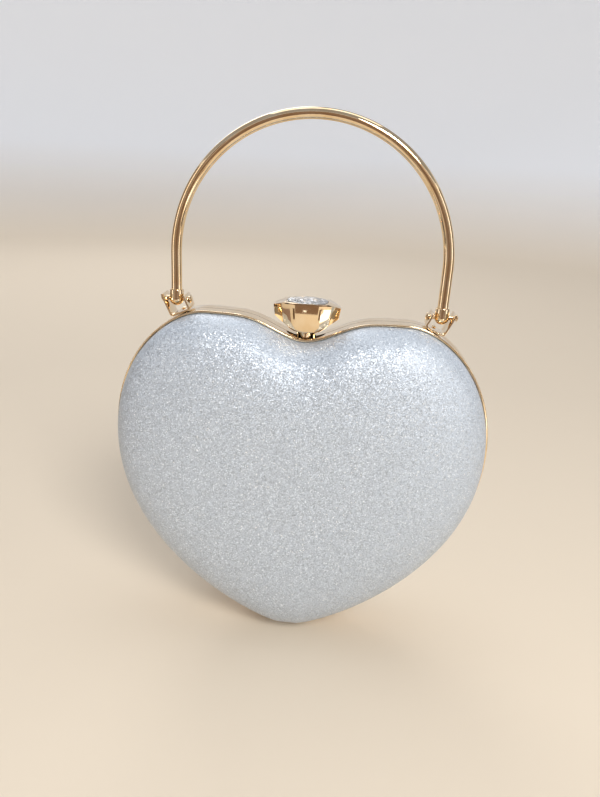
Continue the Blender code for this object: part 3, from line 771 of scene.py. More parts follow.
def smooth_line(points: Sequence[Vector], steps: int) -> list[Vector]:
    """Curve through the points, with each handle along its neighbours' chord.

    Args:
        points: Points to pass through.
        steps: Chords between two of them.

    Returns:
        The curve's points, ends included.
    """
    ends = [points[0], *points, points[-1]]
    line: list[Vector] = []
    for before, start, end, after in zip(ends, ends[1:], ends[2:], ends[3:]):
        line += interpolate_bezier(start, start + (end - before) / 6,
                                   end - (after - start) / 6, end, steps + 1)[:-1]
    return line + [points[-1]]


def bent_line(corners: Sequence[Vector], radius: float, count: int) -> list[Vector]:
    """Line through corners that are rounded over.

    Args:
        corners: First end, corners and last end in order.
        radius: How far from its corner each bend starts.
        count: Points on each bend.

    Returns:
        The line's points.
    """
    pull_share = 0.55
    line = [corners[0]]
    for before, corner, after in zip(corners, corners[1:], corners[2:]):
        first = corner + (before - corner).normalized() * radius
        second = corner + (after - corner).normalized() * radius
        line += interpolate_bezier(first, first.lerp(corner, pull_share),
                                   second.lerp(corner, pull_share), second, count)
    return line + [corners[-1]]


def bent_strip(name: str, points: Sequence[Vector], across: Vector, thickness: float,
               edge: float, segments: int) -> Object:
    """Extrude a line to a strip, thicken it and round its edges.

    Args:
        name: Name of the object.
        points: Middle line along one side of the strip, in its place.
        across: From that side to the other.
        thickness: Thickness of the strip, with the line in its middle.
        edge: Width of the rounding.
        segments: Facets across the rounding.

    Returns:
        The strip.
    """
    bm = bmesh.new()
    verts = [bm.verts.new(point) for point in points]
    edges = [bm.edges.new(pair) for pair in zip(verts, verts[1:])]
    made = bmesh.ops.extrude_edge_only(bm, edges=edges)["geom"]
    bmesh.ops.translate(bm, vec=across, verts=only(made, BMVert))
    piece = to_object(bm, name)
    thicken(piece, thickness, 0.0)
    rounding = piece.modifiers.new("rounding", "BEVEL")
    rounding.width = edge
    rounding.segments = segments
    rounding.limit_method = "ANGLE"
    rounding.angle_limit = CORNER_ANGLE
    return bake(piece)


@dataclass
class Dresser:
    """Places finished pieces: material, shading, body and the node they stand for."""

    palette: Palette

    def finish(self, piece: Object, body: Body | None,
               materials: Sequence[Material], node: str,
               smooth: float | None = 32.0) -> Object:
        """Dress one piece.

        Args:
            piece: Mesh object in its place.
            body: Body that it rides on, or None for a piece that bends between two.
            materials: Materials, in the order of the faces' indices.
            node: CAD node that it replaces.
            smooth: Angle in degrees under which edges look smooth, or None for flat facets.

        Returns:
            The piece.
        """
        piece.data.materials.clear()
        for material in materials:
            piece.data.materials.append(material)
        if smooth is None:
            piece.data.shade_flat()
        else:
            piece.data.shade_smooth()
            piece.data.set_sharp_from_angle(angle=math.radians(smooth))
        if body is not None:
            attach(piece, body.value)
        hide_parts(node)
        log.info("%s: %d faces on %s", piece.name, len(piece.data.polygons),
                 body.value if body is not None else "two bodies")
        return piece

    def gilt(self, piece: Object, body: Body, node: str, smooth: float = 32.0) -> Object:
        """Dress a gilt piece."""
        return self.finish(piece, body, [self.palette.gilt], node, smooth)

    def nickel(self, piece: Object, body: Body | None, node: str) -> Object:
        """Dress a nickelled piece."""
        return self.finish(piece, body, [self.palette.nickel], node)

    def coat_node(self, node: str, material: Material) -> None:
        """Give a CAD node that stays in view a material of this scene.

        Args:
            node: Name of the node.
            material: Its new material.
        """
        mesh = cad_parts[node].data
        mesh.materials.clear()
        mesh.materials.append(material)
        log.info("%s: kept from the model, with %s", node, material.name)


# Heart outline


@dataclass
class HeartOutline:
    """Outline of the frame's outer face, as Bezier spans from the notch to the tip."""

    width: float = 180.0 * MM
    height: float = 164.0 * MM
    notch_depth: float = 10.3 * MM
    lobe_spacing: float = 93.0 * MM
    side_height: float = 102.6 * MM
    tip_land: float = 9.0 * MM
    notch_slope: float = 24.0
    tip_rise: float = 3.1 * MM
    bend_shares: tuple[float, float] = (0.38, 0.59)
    notch_pull_shares: tuple[float, float] = (0.30, 0.40)
    top_pull_shares: tuple[float, float] = (0.33, 0.34)
    shoulder_pull_shares: tuple[float, float] = (0.38, 0.664)
    flank_pull_shares: tuple[float, float] = (0.64, 0.115)
    steps: tuple[int, ...] = (9, 10, 30, 38)

    @property
    def notch_z(self) -> float:
        """Height of the notch."""
        return self.tip_rise + self.height - self.notch_depth

    def half(self) -> list[Vector]:
        """Right half of the outline from the notch to the tip, before its rise.

        Returns:
            Points as (x, z).
        """
        side, top, lobe_x = self.width / 2, self.height, self.lobe_spacing / 2
        along, up = self.bend_shares
        notch = Vector((0, top - self.notch_depth))
        bend = Vector((lobe_x * along, notch.y + self.notch_depth * up))
        lobe = Vector((lobe_x, top))
        widest, tip = Vector((side, self.side_height)), Vector((self.tip_land / 2, 0))
        angle = math.radians(self.notch_slope)
        slope = Vector((math.cos(angle), math.sin(angle)))
        level, rise = Vector((1, 0)), Vector((0, 1))
        near, far = (bend - notch).length, (lobe - bend).length
        leave, reach = self.notch_pull_shares
        spans = [(notch, notch + level * near * leave, bend - slope * near * reach, bend)]
        leave, reach = self.top_pull_shares
        spans += [(bend, bend + slope * far * leave, lobe - level * lobe_x * reach, lobe)]
        leave, reach = self.shoulder_pull_shares
        spans += [(lobe, lobe + level * (side - lobe_x) * leave,
                   widest + rise * (top - self.side_height) * reach, widest)]
        leave, reach = self.flank_pull_shares
        spans += [(widest, widest - rise * self.side_height * leave,
                   tip + level * side * reach, tip)]
        points: list[Vector] = []
        for span, steps in zip(spans, self.steps):
            points += interpolate_bezier(*span, steps + 1)[:-1]
        return points + [tip]

    def points(self, inset: float = 0.0) -> list[Vector]:
        """Whole outline, clockwise from the notch.

        Args:
            inset: How far it is moved inwards.

        Returns:
            Points as (x, z).
        """
        right = self.half()
        loop = right + [Vector((-p.x, p.y)) for p in reversed(right[1:])]
        raised = [p + Vector((0, self.tip_rise)) for p in loop]
        moved = []
        for i, point in enumerate(raised):
            before = (point - raised[i - 1]).normalized()
            after = (raised[(i + 1) % len(raised)] - point).normalized()
            along = (before + after).normalized()
            inward = Vector((along.y, -along.x))
            moved.append(point + inward * inset / along.dot(after))
        return moved

    def ring(self, inset: float, y: float) -> list[Vector]:
        """Outline moved inwards, as points at one depth."""
        return [Vector((p.x, y, p.y)) for p in self.points(inset)]

    def seat(self, x: float) -> tuple[Vector, Vector]:
        """Point on the right lobe, with its outward normal.

        Args:
            x: Distance from the middle.

        Returns:
            The point and the normal, as (x, z).
        """
        points = self.points()
        for a, b in zip(points, points[1:]):
            if a.x <= x <= b.x and a.y > self.side_height:
                along = (b - a).normalized()
                return a.lerp(b, (x - a.x) / (b.x - a.x)), Vector((-along.y, along.x))
        raise ValueError("x is past the lobe")


# Frame halves


@dataclass
class FrameHalf:
    """One half of the gilt frame: a band with a lip turned in over the cover."""

    outline: HeartOutline
    half: Half
    depth: float = 7.0 * MM
    split: float = 0.3 * MM
    wall: float = 0.8 * MM
    edge_radius: float = 0.45 * MM
    split_radius: float = 0.12 * MM
    face_shares: tuple[float, float] = (0.35, 0.65)
    lip_width: float = 1.0 * MM
    lip_thickness: float = 1.2 * MM
    lip_radius: float = 0.25 * MM
    tongue: tuple[float, float, float, float] = (1.1 * MM, 2.0 * MM, 2.5 * MM, 1.5 * MM)
    neck_room: float = 4.8 * MM
    slot_width: float = 18.4 * MM
    slot_length: float = 24.0 * MM
    slot_segments: int = 64

    def section(self) -> list[tuple[float, float]]:
        """Closed section of the band as (inset, depth) points.

        Returns:
            The points in order.
        """
        start, face, lip = self.split / 2, self.depth, self.lip_width
        small, edge, turn = self.split_radius, self.edge_radius, self.lip_radius
        points = [(small, start), (0.0, start + small)]
        points += [(0.0, face * share) for share in self.face_shares]
        points += arc((edge, face - edge), edge, 180, 90, 6)
        points += arc((lip - turn, face - turn), turn, 90, 0, 4)
        points += [(lip, face - self.lip_thickness), (self.wall, face - self.lip_thickness)]
        if self.half is Half.FRONT:
            return points + [(self.wall, start)]
        outer, inner, root, reach = self.tongue
        return points + [(self.wall, root), (inner, root), (inner, -reach), (outer, -reach),
                         (outer, start)]

    def slot_tool(self) -> Object:
        """Upright cutter for the neck: round at the back, a wider slot in front.

        Returns:
            The cutter.
        """
        half_facet = Matrix.Rotation(math.pi / self.slot_segments, 4, "Z")
        place = Matrix.Translation((0, 0, self.outline.notch_z)) @ half_facet
        tool = drill(self.neck_room, self.slot_length, place, self.slot_segments)
        if self.half is Half.FRONT:
            pull = self.slot_width / 2 - self.neck_room
            for vert in tool.data.vertices:
                vert.co.x += math.copysign(pull, vert.co.x)
        return tool

    def build(self, dresser: Dresser) -> None:
        """Sweep the band, cut the neck's slot and dress it.

        Args:
            dresser: Places the finished piece.
        """
        side = self.half.side
        rings = [self.outline.ring(inset, side * y) for inset, y in self.section()]
        bm = bmesh.new()
        loft(bm, rings + rings[:1])
        node = f"{self.half.label}_frame"
        band = to_object(outward(bm), f"{node}_band")
        carve(band, [self.slot_tool()])
        dresser.gilt(band, self.half.body, node, smooth=38.0)


# Domed walls


@dataclass
class DomedWall:
    """Cover, shell and lining of one half: nested domes that share one rounding law."""

    outline: HeartOutline
    half: Half
    depth: float = 23.7 * MM
    face: float = 7.0 * MM
    cover_inset: float = 1.3 * MM
    cover_tuck: float = 1.8 * MM
    lining_inset: float = 4.1 * MM
    lining_tuck: float = 2.1 * MM
    cloth: float = 0.6 * MM
    centre_height: float = 85.0 * MM
    plan_power: float = 0.5
    rise_power: float = 0.83
    ring_power: float = 1.25
    rings: int = 26
    last_turns: tuple[float, ...] = (86.0, 88.0, 89.2, 89.8)
    smooth: float = 50.0

    @property
    def centre(self) -> Vector:
        """Middle that the domes shrink towards, as (x, z)."""
        return Vector((0, self.centre_height + self.outline.tip_rise))

    def rise(self, inset: float) -> float:
        """Height of the crown over the frame's face."""
        return self.depth - (inset - self.cover_inset)

    def ring(self, inset: float, turn: float) -> list[Vector]:
        """One ring of the dome.

        Args:
            inset: How far inside the outline the dome's foot lies.
            turn: 0 at the foot and 90 at the crown, in degrees.

        Returns:
            The ring's points.
        """
        centre, angle = self.centre, math.radians(turn)
        mean = (self.outline.width + self.outline.height) / 4 - inset
        size = max(math.cos(angle), 0.0) ** self.plan_power
        rise = self.rise(inset) * math.sin(angle) ** self.rise_power
        points = []
        for p in self.outline.points(inset):
            spoke = p - centre
            rounded = spoke.lerp(spoke.normalized() * mean, 1 - size)
            spot = centre + rounded * size
            points.append(Vector((spot.x, self.half.side * (self.face + rise), spot.y)))
        return points

    def dome(self, inset: float, tuck: float) -> BMesh:
        """Loft one dome from its skirt to its crown, open at the foot.

        Args:
            inset: How far inside the outline it starts.
            tuck: How deep its skirt runs into the frame.

        Returns:
            The surface, facing outwards.
        """
        side, widest_turn = self.half.side, self.last_turns[0]
        skirt = self.outline.ring(inset, side * (self.face - tuck))
        turns = [widest_turn * (1 - (1 - i / self.rings) ** self.ring_power)
                 for i in range(self.rings)]
        bm = bmesh.new()
        last = loft(bm, [skirt] + [self.ring(inset, turn)
                                   for turn in (*turns, *self.last_turns)])[1]
        crown = bmesh.ops.poke(bm, faces=[cap(bm, last)])["verts"][0]
        crown.co = (0, side * (self.face + self.rise(inset)), self.centre.y)
        bmesh.ops.recalc_face_normals(bm, faces=bm.faces)
        crown.link_faces[0].normal_update()
        if crown.link_faces[0].normal.y * side < 0:
            bmesh.ops.reverse_faces(bm, faces=bm.faces)
        return bm

    def wall(self, layer: str, inset: float, tuck: float) -> Object:
        """One domed wall of cloth, grown inwards.

        Args:
            layer: Word for it in its name.
            inset: How far inside the outline it starts.
            tuck: How deep its skirt runs into the frame.

        Returns:
            The wall.
        """
        made = to_object(self.dome(inset, tuck), f"{self.half.label}_{layer}_dome")
        thicken(made, self.cloth, -1.0)
        return bake(made)

    def build(self, dresser: Dresser) -> None:
        """Make the glitter cover and the lining, and coat the shell between them.

        Args:
            dresser: Places the finished pieces.
        """
        palette, label, body = dresser.palette, self.half.label, self.half.body
        cover = self.wall("cover", self.cover_inset, self.cover_tuck)
        dresser.finish(cover, body, [palette.glitter], f"{label}_cover",
                       self.smooth)
        lining = self.wall("lining", self.lining_inset, self.lining_tuck)
        dresser.finish(lining, body, [palette.lining], f"{label}_lining",
                       self.smooth)
        dresser.coat_node(f"{label}_shell", palette.shell)


# Hinge


@dataclass
class TipHinge:
    """Two leaves with interleaved knuckles under the tip, on one pin."""

    knuckle: float = 1.4 * MM
    edge: float = 0.12 * MM
    pin: float = 0.6 * MM
    pin_head: float = 0.6 * MM
    head_radius: float = 0.3 * MM
    play: float = 0.1 * MM
    gap: float = 0.3 * MM
    length: float = 11.0 * MM
    leaf: float = 0.7 * MM
    reach: float = 6.0 * MM
    middle: float = 4.4 * MM
    tab_share: float = 0.35
    knuckle_facets: int = 40
    pin_facets: int = 32

    @property
    def place(self) -> Matrix:
        """Lays a turned part along the hinge's axis."""
        return Matrix.Translation((0, 0, self.knuckle)) @ ALONG_X

    def knuckle_tube(self, low: float, high: float) -> Object:
        """One knuckle with its bore.

        Args:
            low: Where it starts along X.
            high: Where it ends.

        Returns:
            The knuckle.
        """
        outer, inner, edge = self.knuckle, self.pin + self.play, self.edge
        profile = [(inner, low), (outer - edge, low), (outer, low + edge),
                   (outer, high - edge), (outer - edge, high), (inner, high), (inner, low)]
        return to_object(turned(profile, self.knuckle_facets), "knuckle", self.place)

    def leaf_piece(self, half: Half, spans: Sequence[tuple[float, float]], name: str) -> Object:
        """Flat plate joined by a tab to each of its knuckles.

        Args:
            half: Half that the leaf belongs to.
            spans: Both ends of each knuckle along X.
            name: Name of the object.

        Returns:
            The leaf.
        """
        root, thin = self.knuckle + self.gap, self.leaf
        height = 2 * self.knuckle - thin / 2
        boxes = [(-self.length / 2, self.length / 2, root, self.reach)]
        boxes += [(low, high, self.knuckle * self.tab_share, root + thin)
                  for low, high in spans]
        leaf, *tabs = (block((high - low, far - near, thin),
                             Matrix.Translation(((low + high) / 2,
                                                 half.side * (near + far) / 2, height)), name)
                       for low, high, near, far in boxes)
        carve(leaf, tabs + [self.knuckle_tube(low, high) for low, high in spans], "UNION")
        return leaf

    def pin_piece(self) -> Object:
        """Pin with a rounded head at both ends.

        Returns:
            The pin.
        """
        end, head, turn = self.length / 2 + self.gap, self.pin + self.pin_head / 2, self.head_radius
        tip = end + self.pin_head
        profile = [(0, -tip)] + arc((head - turn, turn - tip), turn, -90, 0, 4)
        profile += [(head, -end), (self.pin, -end), (self.pin, end), (head, end)]
        profile += arc((head - turn, tip - turn), turn, 0, 90, 4) + [(0, tip)]
        return to_object(turned(profile, self.pin_facets), "hinge_pin_turned", self.place)

    def build(self, dresser: Dresser) -> None:
        """Make both leaves and the pin.

        Args:
            dresser: Places the finished pieces.
        """
        half, middle = self.length / 2, self.middle / 2
        spans = {Half.FRONT: [(-middle, middle)],
                 Half.REAR: [(-half, -middle - self.gap), (middle + self.gap, half)]}
        for owner, parts in spans.items():
            node = f"{owner.label}_hinge_leaf"
            leaf = self.leaf_piece(owner, parts, f"{node}_plate")
            dresser.gilt(leaf, owner.body, node, smooth=30.0)
        dresser.nickel(self.pin_piece(), Body.REAR, "hinge_pin")


# Handle


@dataclass
class ArchHandle:
    """Polished rod bent to an arch, with a collared ball on each end."""

    pivot: Vector
    rod: float = 2.45 * MM
    leg: float = 21.2 * MM
    ball: float = 3.4 * MM
    collar: float = 3.2 * MM
    collar_height: float = 0.8 * MM
    collar_edge: float = 0.2 * MM
    socket: float = 1.6 * MM
    gap: float = 0.3 * MM
    bore: float = 1.2 * MM
    rod_facets: int = 48
    arch_steps: int = 128
    ball_facets: int = 64
    bore_facets: int = 40

    def arch(self) -> Object:
        """Extrude a circle up one leg, spin it over the arch and down the other leg.

        Returns:
            The rod.
        """
        start = self.pivot.y + self.ball + self.collar_height - self.socket + self.gap
        top, radius = self.pivot.y + self.leg, self.pivot.x

        def at(edges: Sequence[BMEdge], height: float) -> list[BMEdge]:
            """Edges that lie level at one height."""
            return [edge for edge in edges
                    if all(abs(vert.co.z - height) < WELD for vert in edge.verts)]

        bm = bmesh.new()
        foot = bmesh.ops.create_circle(bm, cap_ends=True, segments=self.rod_facets,
                                       radius=self.rod,
                                       matrix=Matrix.Translation((-radius, 0, start)))
        edges = list({edge for vert in foot["verts"] for edge in vert.link_edges})
        leg = bmesh.ops.extrude_edge_only(bm, edges=edges)["geom"]
        bmesh.ops.translate(bm, verts=only(leg, BMVert), vec=(0, 0, top - start))
        spun_rod = bmesh.ops.spin(bm, geom=only(leg, BMVert) + at(only(leg, BMEdge), top),
                                  cent=(0, 0, top), axis=(0, 1, 0), dvec=(0, 0, 0),
                                  angle=math.pi, steps=self.arch_steps, use_merge=False,
                                  use_duplicate=False)["geom_last"]
        last = bmesh.ops.extrude_edge_only(bm, edges=only(spun_rod, BMEdge))["geom"]
        bmesh.ops.translate(bm, verts=only(last, BMVert), vec=(0, 0, start - top))
        bmesh.ops.contextual_create(bm, geom=at(only(last, BMEdge), start))
        return to_object(outward(bm), "handle_arch_rod")

    def ball_end(self, name: str, side: int) -> Object:
        """Turned ball with a collar, bored across for its pin.

        Args:
            name: Name of the object.
            side: -1 on the left, 1 on the right.

        Returns:
            The ball.
        """
        angle = math.degrees(math.asin(self.collar / self.ball))
        top = self.ball + self.collar_height
        floor, bore, shoulder = top - self.socket, self.rod + self.gap, top - self.collar_edge
        profile = [(0, floor), (bore, floor), (bore, shoulder)]
        profile += arc(((bore + self.collar) / 2, shoulder), (self.collar - bore) / 2, 180, 0, 6)
        profile += arc((0, 0), self.ball, 90 - angle, -90, 30)
        place = Matrix.Translation((side * self.pivot.x, 0, self.pivot.y))
        made = to_object(turned(profile, self.ball_facets), name, place)
        carve(made, [drill(self.bore, 4 * self.ball, place @ ALONG_X, self.bore_facets)])
        return made

    def build(self, dresser: Dresser) -> None:
        """Make the rod and its two ball ends.

        Args:
            dresser: Places the finished pieces.
        """
        dresser.gilt(self.arch(), Body.HANDLE, "handle_arch")
        for label, side in (("left", -1), ("right", 1)):
            node = f"handle_ball_{label}"
            dresser.gilt(self.ball_end(f"{node}_turned", side), Body.HANDLE, node)


# Brackets


@dataclass
class ShoulderBracket:
    """Bent strip on a shoulder, with the pin that the handle turns on and its rivet."""

    outline: HeartOutline
    label: str
    side: int
    seat_share: float = 0.648
    inner: float = 8.4 * MM
    strip: float = 0.8 * MM
    depth: float = 10.4 * MM
    corner: float = 1.3 * MM
    edge: float = 0.12 * MM
    pin_height: float = 6.2 * MM
    above_pin: float = 2.3 * MM
    pin: float = 1.1 * MM
    pin_head: tuple[float, float] = (1.9 * MM, 0.9 * MM)
    rivet: float = 0.8 * MM
    rivet_head: tuple[float, float] = (1.4 * MM, 0.6 * MM)
    rivet_length: float = 3.0 * MM
    half_split: float = 0.15 * MM
    gap: float = 0.3 * MM
    play: float = 0.1 * MM
    drill_length: float = 20.0 * MM
    drill_facets: int = 36
    pin_facets: int = 40

    def seat(self) -> tuple[Vector, Vector]:
        """Where the strip lies on the right lobe, and the normal there."""
        return self.outline.seat(self.outline.width / 2 * self.seat_share)

    def pivot(self) -> Vector:
        """Middle of the right pin, as (x, z), where the model has it."""
        low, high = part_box("pivot_pin_right")
        return Vector(((low.x + high.x) / 2, (low.z + high.z) / 2))

    @property
    def tilt(self) -> float:
        """Lean of the strip, in radians."""
        normal = self.seat()[1]
        return math.atan2(normal.x, normal.y)

    def path(self) -> list[Vector]:
        """Middle line of the strip, in its own plane.

        Returns:
            Points as (x, z), from the inner arm to the outer one.
        """
        half, middle = (self.inner + self.strip) / 2, self.strip / 2
        top = self.strip + self.pin_height + self.above_pin
        lift = half * math.tan(self.tilt)
        corners = ((-half, top - lift), (-half, middle), (half, middle), (half, top + lift))
        return bent_line([Vector(corner) for corner in corners], self.corner, 9)

    def place(self) -> Matrix:
        """Turn and shift from the strip's own plane to the shoulder.

        Returns:
            The place.
        """
        point, normal = self.seat()
        foot = point + normal * self.gap
        return (Matrix.Translation((self.side * foot.x, 0, foot.y))
                @ Matrix.Rotation(self.side * self.tilt, 4, "Y"))

    def pin_place(self) -> Matrix:
        """Place of the pin, lying along X."""
        pivot = self.pivot()
        return Matrix.Translation((self.side * pivot.x, 0, pivot.y)) @ ALONG_X

    def rivet_place(self) -> Matrix:
        """Place of the rivet, in the rear half's share of the strip."""
        return self.place() @ Matrix.Translation((0, (self.depth / 2 + self.half_split) / 2, 0))

    def strip_piece(self) -> Object:
        """Bend the strip and bore it for the pin and the rivet.

        Returns:
            The strip.
        """
        place = self.place()
        points = [place @ Vector((self.side * p.x, -self.depth / 2, p.y)) for p in self.path()]
        piece = bent_strip(f"bracket_{self.label}_strip", points, Vector((0, self.depth, 0)),
                           self.strip, self.edge, 3)
        bores = ((self.pin, self.pin_place()), (self.rivet, self.rivet_place()))
        carve(piece, [drill(radius + self.play, self.drill_length, matrix, self.drill_facets)
                      for radius, matrix in bores])
        return piece

    def headed(self, name: str, radius: float, head: tuple[float, float],
               ends: tuple[float, float], place: Matrix) -> Object:
        """A pin with a low dome on both ends.

        Args:
            name: Name of the piece.
            radius: Radius of the shank.
            head: Radius and height of the domes.
            ends: Inner faces of the lower and upper head.
            place: Turn and shift to its place.

        Returns:
            The pin.
        """
        wide, tall = head
        ball = (wide ** 2 + tall ** 2) / (2 * tall)
        swing = math.degrees(math.asin(wide / ball))
        low, high = ends
        profile = arc((0, low - tall + ball), ball, -90, -90 + swing, 8)
        profile += [(radius, low), (radius, high)]
        profile += arc((0, high + tall - ball), ball, 90 - swing, 90, 8)
        return to_object(turned(profile, self.pin_facets), name, place)

    def build(self, dresser: Dresser) -> None:
        """Make the strip, its pin and its rivet.

        Args:
            dresser: Places the finished pieces.
        """
        dresser.gilt(self.strip_piece(), Body.REAR, f"bracket_{self.label}")
        half = (self.inner + self.strip) / 2
        end = half / math.cos(self.tilt) + 1.5 * self.strip + self.gap
        node = f"pivot_pin_{self.label}"
        pin = self.headed(f"{node}_domed", self.pin, self.pin_head, (-end, end),
                          self.pin_place())
        dresser.gilt(pin, Body.REAR, node)
        node = f"bracket_rivet_{self.label}"
        rivet = self.headed(f"{node}_domed", self.rivet, self.rivet_head,
                            (-self.rivet_length, self.strip + self.gap), self.rivet_place())
        dresser.gilt(rivet, Body.REAR, node)


# Press clasp


@dataclass
class PressClasp:
    """Faceted cup on a round bowl, with a long-cut stone and a post below."""

    notch_z: float
    rim_rise: float = 16.9 * MM
    width: float = 31.4 * MM
    depth: float = 15.6 * MM
    height: float = 14.1 * MM
    taper: float = 0.88
    rim_share: float = 0.05
    plan_shares: tuple[tuple[float, float], ...] = (
        (0.33, 1.00), (0.43, 0.98), (0.72, 0.80), (1.00, 0.30))
    bowl_shares: tuple[tuple[float, float], ...] = (
        (1.04, 0.42), (0.73, 0.70), (0.55, 0.88), (0.44, 0.96), (0.32, 1.00))
    end_slope: float = 20.0
    slope_share: float = 0.64
    edge: float = 0.22 * MM
    edge_angle: float = 14.0
    overrun: float = 4.0 * MM
    stone: tuple[float, float] = (19.0 * MM, 13.6 * MM)
    stone_sides: int = 18
    stone_power: float = 0.82
    crown: float = 1.4 * MM
    girdle: float = 0.3 * MM
    seat: float = 2.4 * MM
    seat_share: float = 0.60
    gap: float = 0.3 * MM
    neck: float = 4.2 * MM
    guide: float = 2.0 * MM
    pin: float = 1.4 * MM
    post_edge: float = 0.2 * MM
    post_facets: int = 64
    bowl_facets: int = 128
    band_wall: float = 0.8 * MM

    @property
    def rim_z(self) -> float:
        """Height of the cup's rim."""
        return self.notch_z + self.rim_rise

    def facet_ring(self, width: float, depth: float, z: float) -> list[Vector]:
        """Sixteen-sided plan of the cup or the stone's seat at one height.

        Args:
            width: Whole width across X.
            depth: Whole depth across Y.
            z: Height.

        Returns:
            The ring's points.
        """
        quarter = [(x * width / 2, y * depth / 2) for x, y in self.plan_shares]
        right = quarter + [(x, -y) for x, y in reversed(quarter)]
        return [Vector((x, y, z)) for x, y in right + [(-x, -y) for x, y in right]]

    def faceted(self, width: float, depth: float,
                levels: Sequence[tuple[float, float]], name: str) -> Object:
        """Solid of facets through a few levels of one plan.

        Args:
            width: Whole width across X.
            depth: Whole depth across Y.
            levels: Share of the plan and height of each level.
            name: Name of the object.

        Returns:
            The solid.
        """
        rings = [self.facet_ring(width * share, depth * share, z) for share, z in levels]
        return to_object(stacked(rings), name)

    def bowl_tool(self) -> Object:
        """Round bowl that bounds the cup's facets from below.

        Returns:
            The bowl, filled.
        """
        side = smooth_line([Vector((self.width / 2 * share, self.rim_z - self.height * drop))
                            for share, drop in self.bowl_shares], 8)
        top = self.rim_z + self.overrun
        profile = [(0, top), (side[0].x, top)] + [(p.x, p.y) for p in side] + [(0, side[-1].y)]
        return to_object(turned(profile, self.bowl_facets), "bowl")

    def slope_tool(self, side: int) -> Object:
        """Block that slopes one end of the rim down from the stone.

        Args:
            side: -1 on the left, 1 on the right.

        Returns:
            The block.
        """
        long, wide, tall = self.width, 2 * self.depth, self.height
        place = (Matrix.Rotation(0 if side > 0 else math.pi, 4, "Z")
                 @ Matrix.Translation((self.width / 2 * self.slope_share, 0, self.rim_z))
                 @ Matrix.Rotation(math.radians(self.end_slope), 4, "Y")
                 @ Matrix.Translation(((long - self.overrun) / 2, 0, tall / 2)))
        return block((long, wide, tall), place)

    def seat_tool(self) -> Object:
        """Cutter for the stone's seat, a little wider than the stone.

        Returns:
            The cutter.
        """
        wide, deep = (size + self.gap for size in self.stone)
        rim = self.rim_z
        levels = [(1.0, rim + self.crown), (1.0, rim - self.girdle - self.gap),
                  (self.seat_share, rim - self.seat - self.gap)]
        return self.faceted(wide, deep, levels, "seat")

    def cup(self) -> Object:
        """Cut a faceted block with the bowl, slope its ends and sink the stone's seat.

        Returns:
            The cup, with its edges rounded.
        """
        rim = self.rim_z
        levels = [(1.0, rim), (1.0, rim - self.rim_share * self.height),
                  (self.taper, rim - self.height)]
        piece = self.faceted(self.width, self.depth, levels, "clasp_cup_cut")
        carve(piece, [self.bowl_tool()], "INTERSECT")
        carve(piece, [self.slope_tool(1), self.slope_tool(-1)])
        carve(piece, [self.seat_tool()])
        bm = bmesh.new()
        bm.from_mesh(piece.data)
        bmesh.ops.remove_doubles(bm, verts=bm.verts, dist=WELD)
        limit = math.radians(self.edge_angle)
        sharp = [edge for edge in bm.edges
                 if edge.is_manifold and edge.calc_face_angle(0.0) > limit]
        bmesh.ops.bevel(bm, geom=sharp, offset=self.edge, offset_type="OFFSET", affect="EDGES",
                        segments=3, profile=0.5, material=-1, clamp_overlap=True)
        bm.to_mesh(piece.data)
        bm.free()
        return piece

    def stone_piece(self) -> Object:
        """Cut stone: the hull of staggered rings gives the triangular facets.

        Returns:
            The stone, with the foil's faces on its second material.
        """
        wide, deep = self.stone
        # Share of the plan, height over the rim and turn by a share of a side
        rings = ((0.42, self.crown, 0.0), (0.68, self.crown * 0.82, 0.5),
                 (0.88, self.crown * 0.50, 0.0), (1.00, self.girdle, 0.5),
                 (1.00, -self.girdle, 0.5), (0.80, -self.seat * 0.55, 0.0),
                 (0.45, -self.seat, 0.5))
        bm = bmesh.new()
        for share, rise, turn in rings:
            for i in range(self.stone_sides):
                angle = FULL_TURN * (i + turn) / self.stone_sides
                along, across = (math.copysign(abs(part) ** self.stone_power, part)
                                 for part in (math.cos(angle), math.sin(angle)))
                bm.verts.new((wide / 2 * share * along, deep / 2 * share * across,
                              self.rim_z + rise))
        hull = bmesh.ops.convex_hull(bm, input=bm.verts, use_existing_faces=False)
        bmesh.ops.delete(bm, geom=hull["geom_interior"] + hull["geom_unused"], context="VERTS")
        bmesh.ops.dissolve_limit(bm, angle_limit=math.radians(1.0), verts=bm.verts,
                                 edges=bm.edges)
        bmesh.ops.recalc_face_normals(bm, faces=bm.faces)
        for face in bm.faces:
            face.material_index = int(face.calc_center_median().z < self.rim_z - self.girdle)
        return to_object(bm, "clasp_stone_cut")

    def post(self) -> Object:
        """Neck, guide and tip of the post in one turned piece.

        Returns:
            The post.
        """
        low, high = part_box("clasp_post")
        top, bottom, edge = high.z, low.z, self.post_edge
        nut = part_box("clasp_nut")[1].z + self.gap
        neck_low = self.notch_z - self.band_wall
        profile = [(0, bottom), (self.pin - edge, bottom), (self.pin, bottom + edge),
                   (self.pin, nut), (self.guide, nut), (self.guide, neck_low),
                   (self.neck - edge, neck_low), (self.neck, neck_low + edge),
                   (self.neck, top), (0, top)]
        return to_object(turned(profile, self.post_facets), "clasp_post_turned")

    def build(self, dresser: Dresser) -> None:
        """Make the cup, the stone and the post.

        Args:
            dresser: Places the finished pieces.
        """
        palette = dresser.palette
        dresser.gilt(self.cup(), Body.CLASP, "clasp_cup", smooth=20.0)
        dresser.finish(self.stone_piece(), Body.CLASP,
                       [palette.glass, palette.foil], "clasp_stone", None)
        dresser.gilt(self.post(), Body.CLASP, "clasp_post")


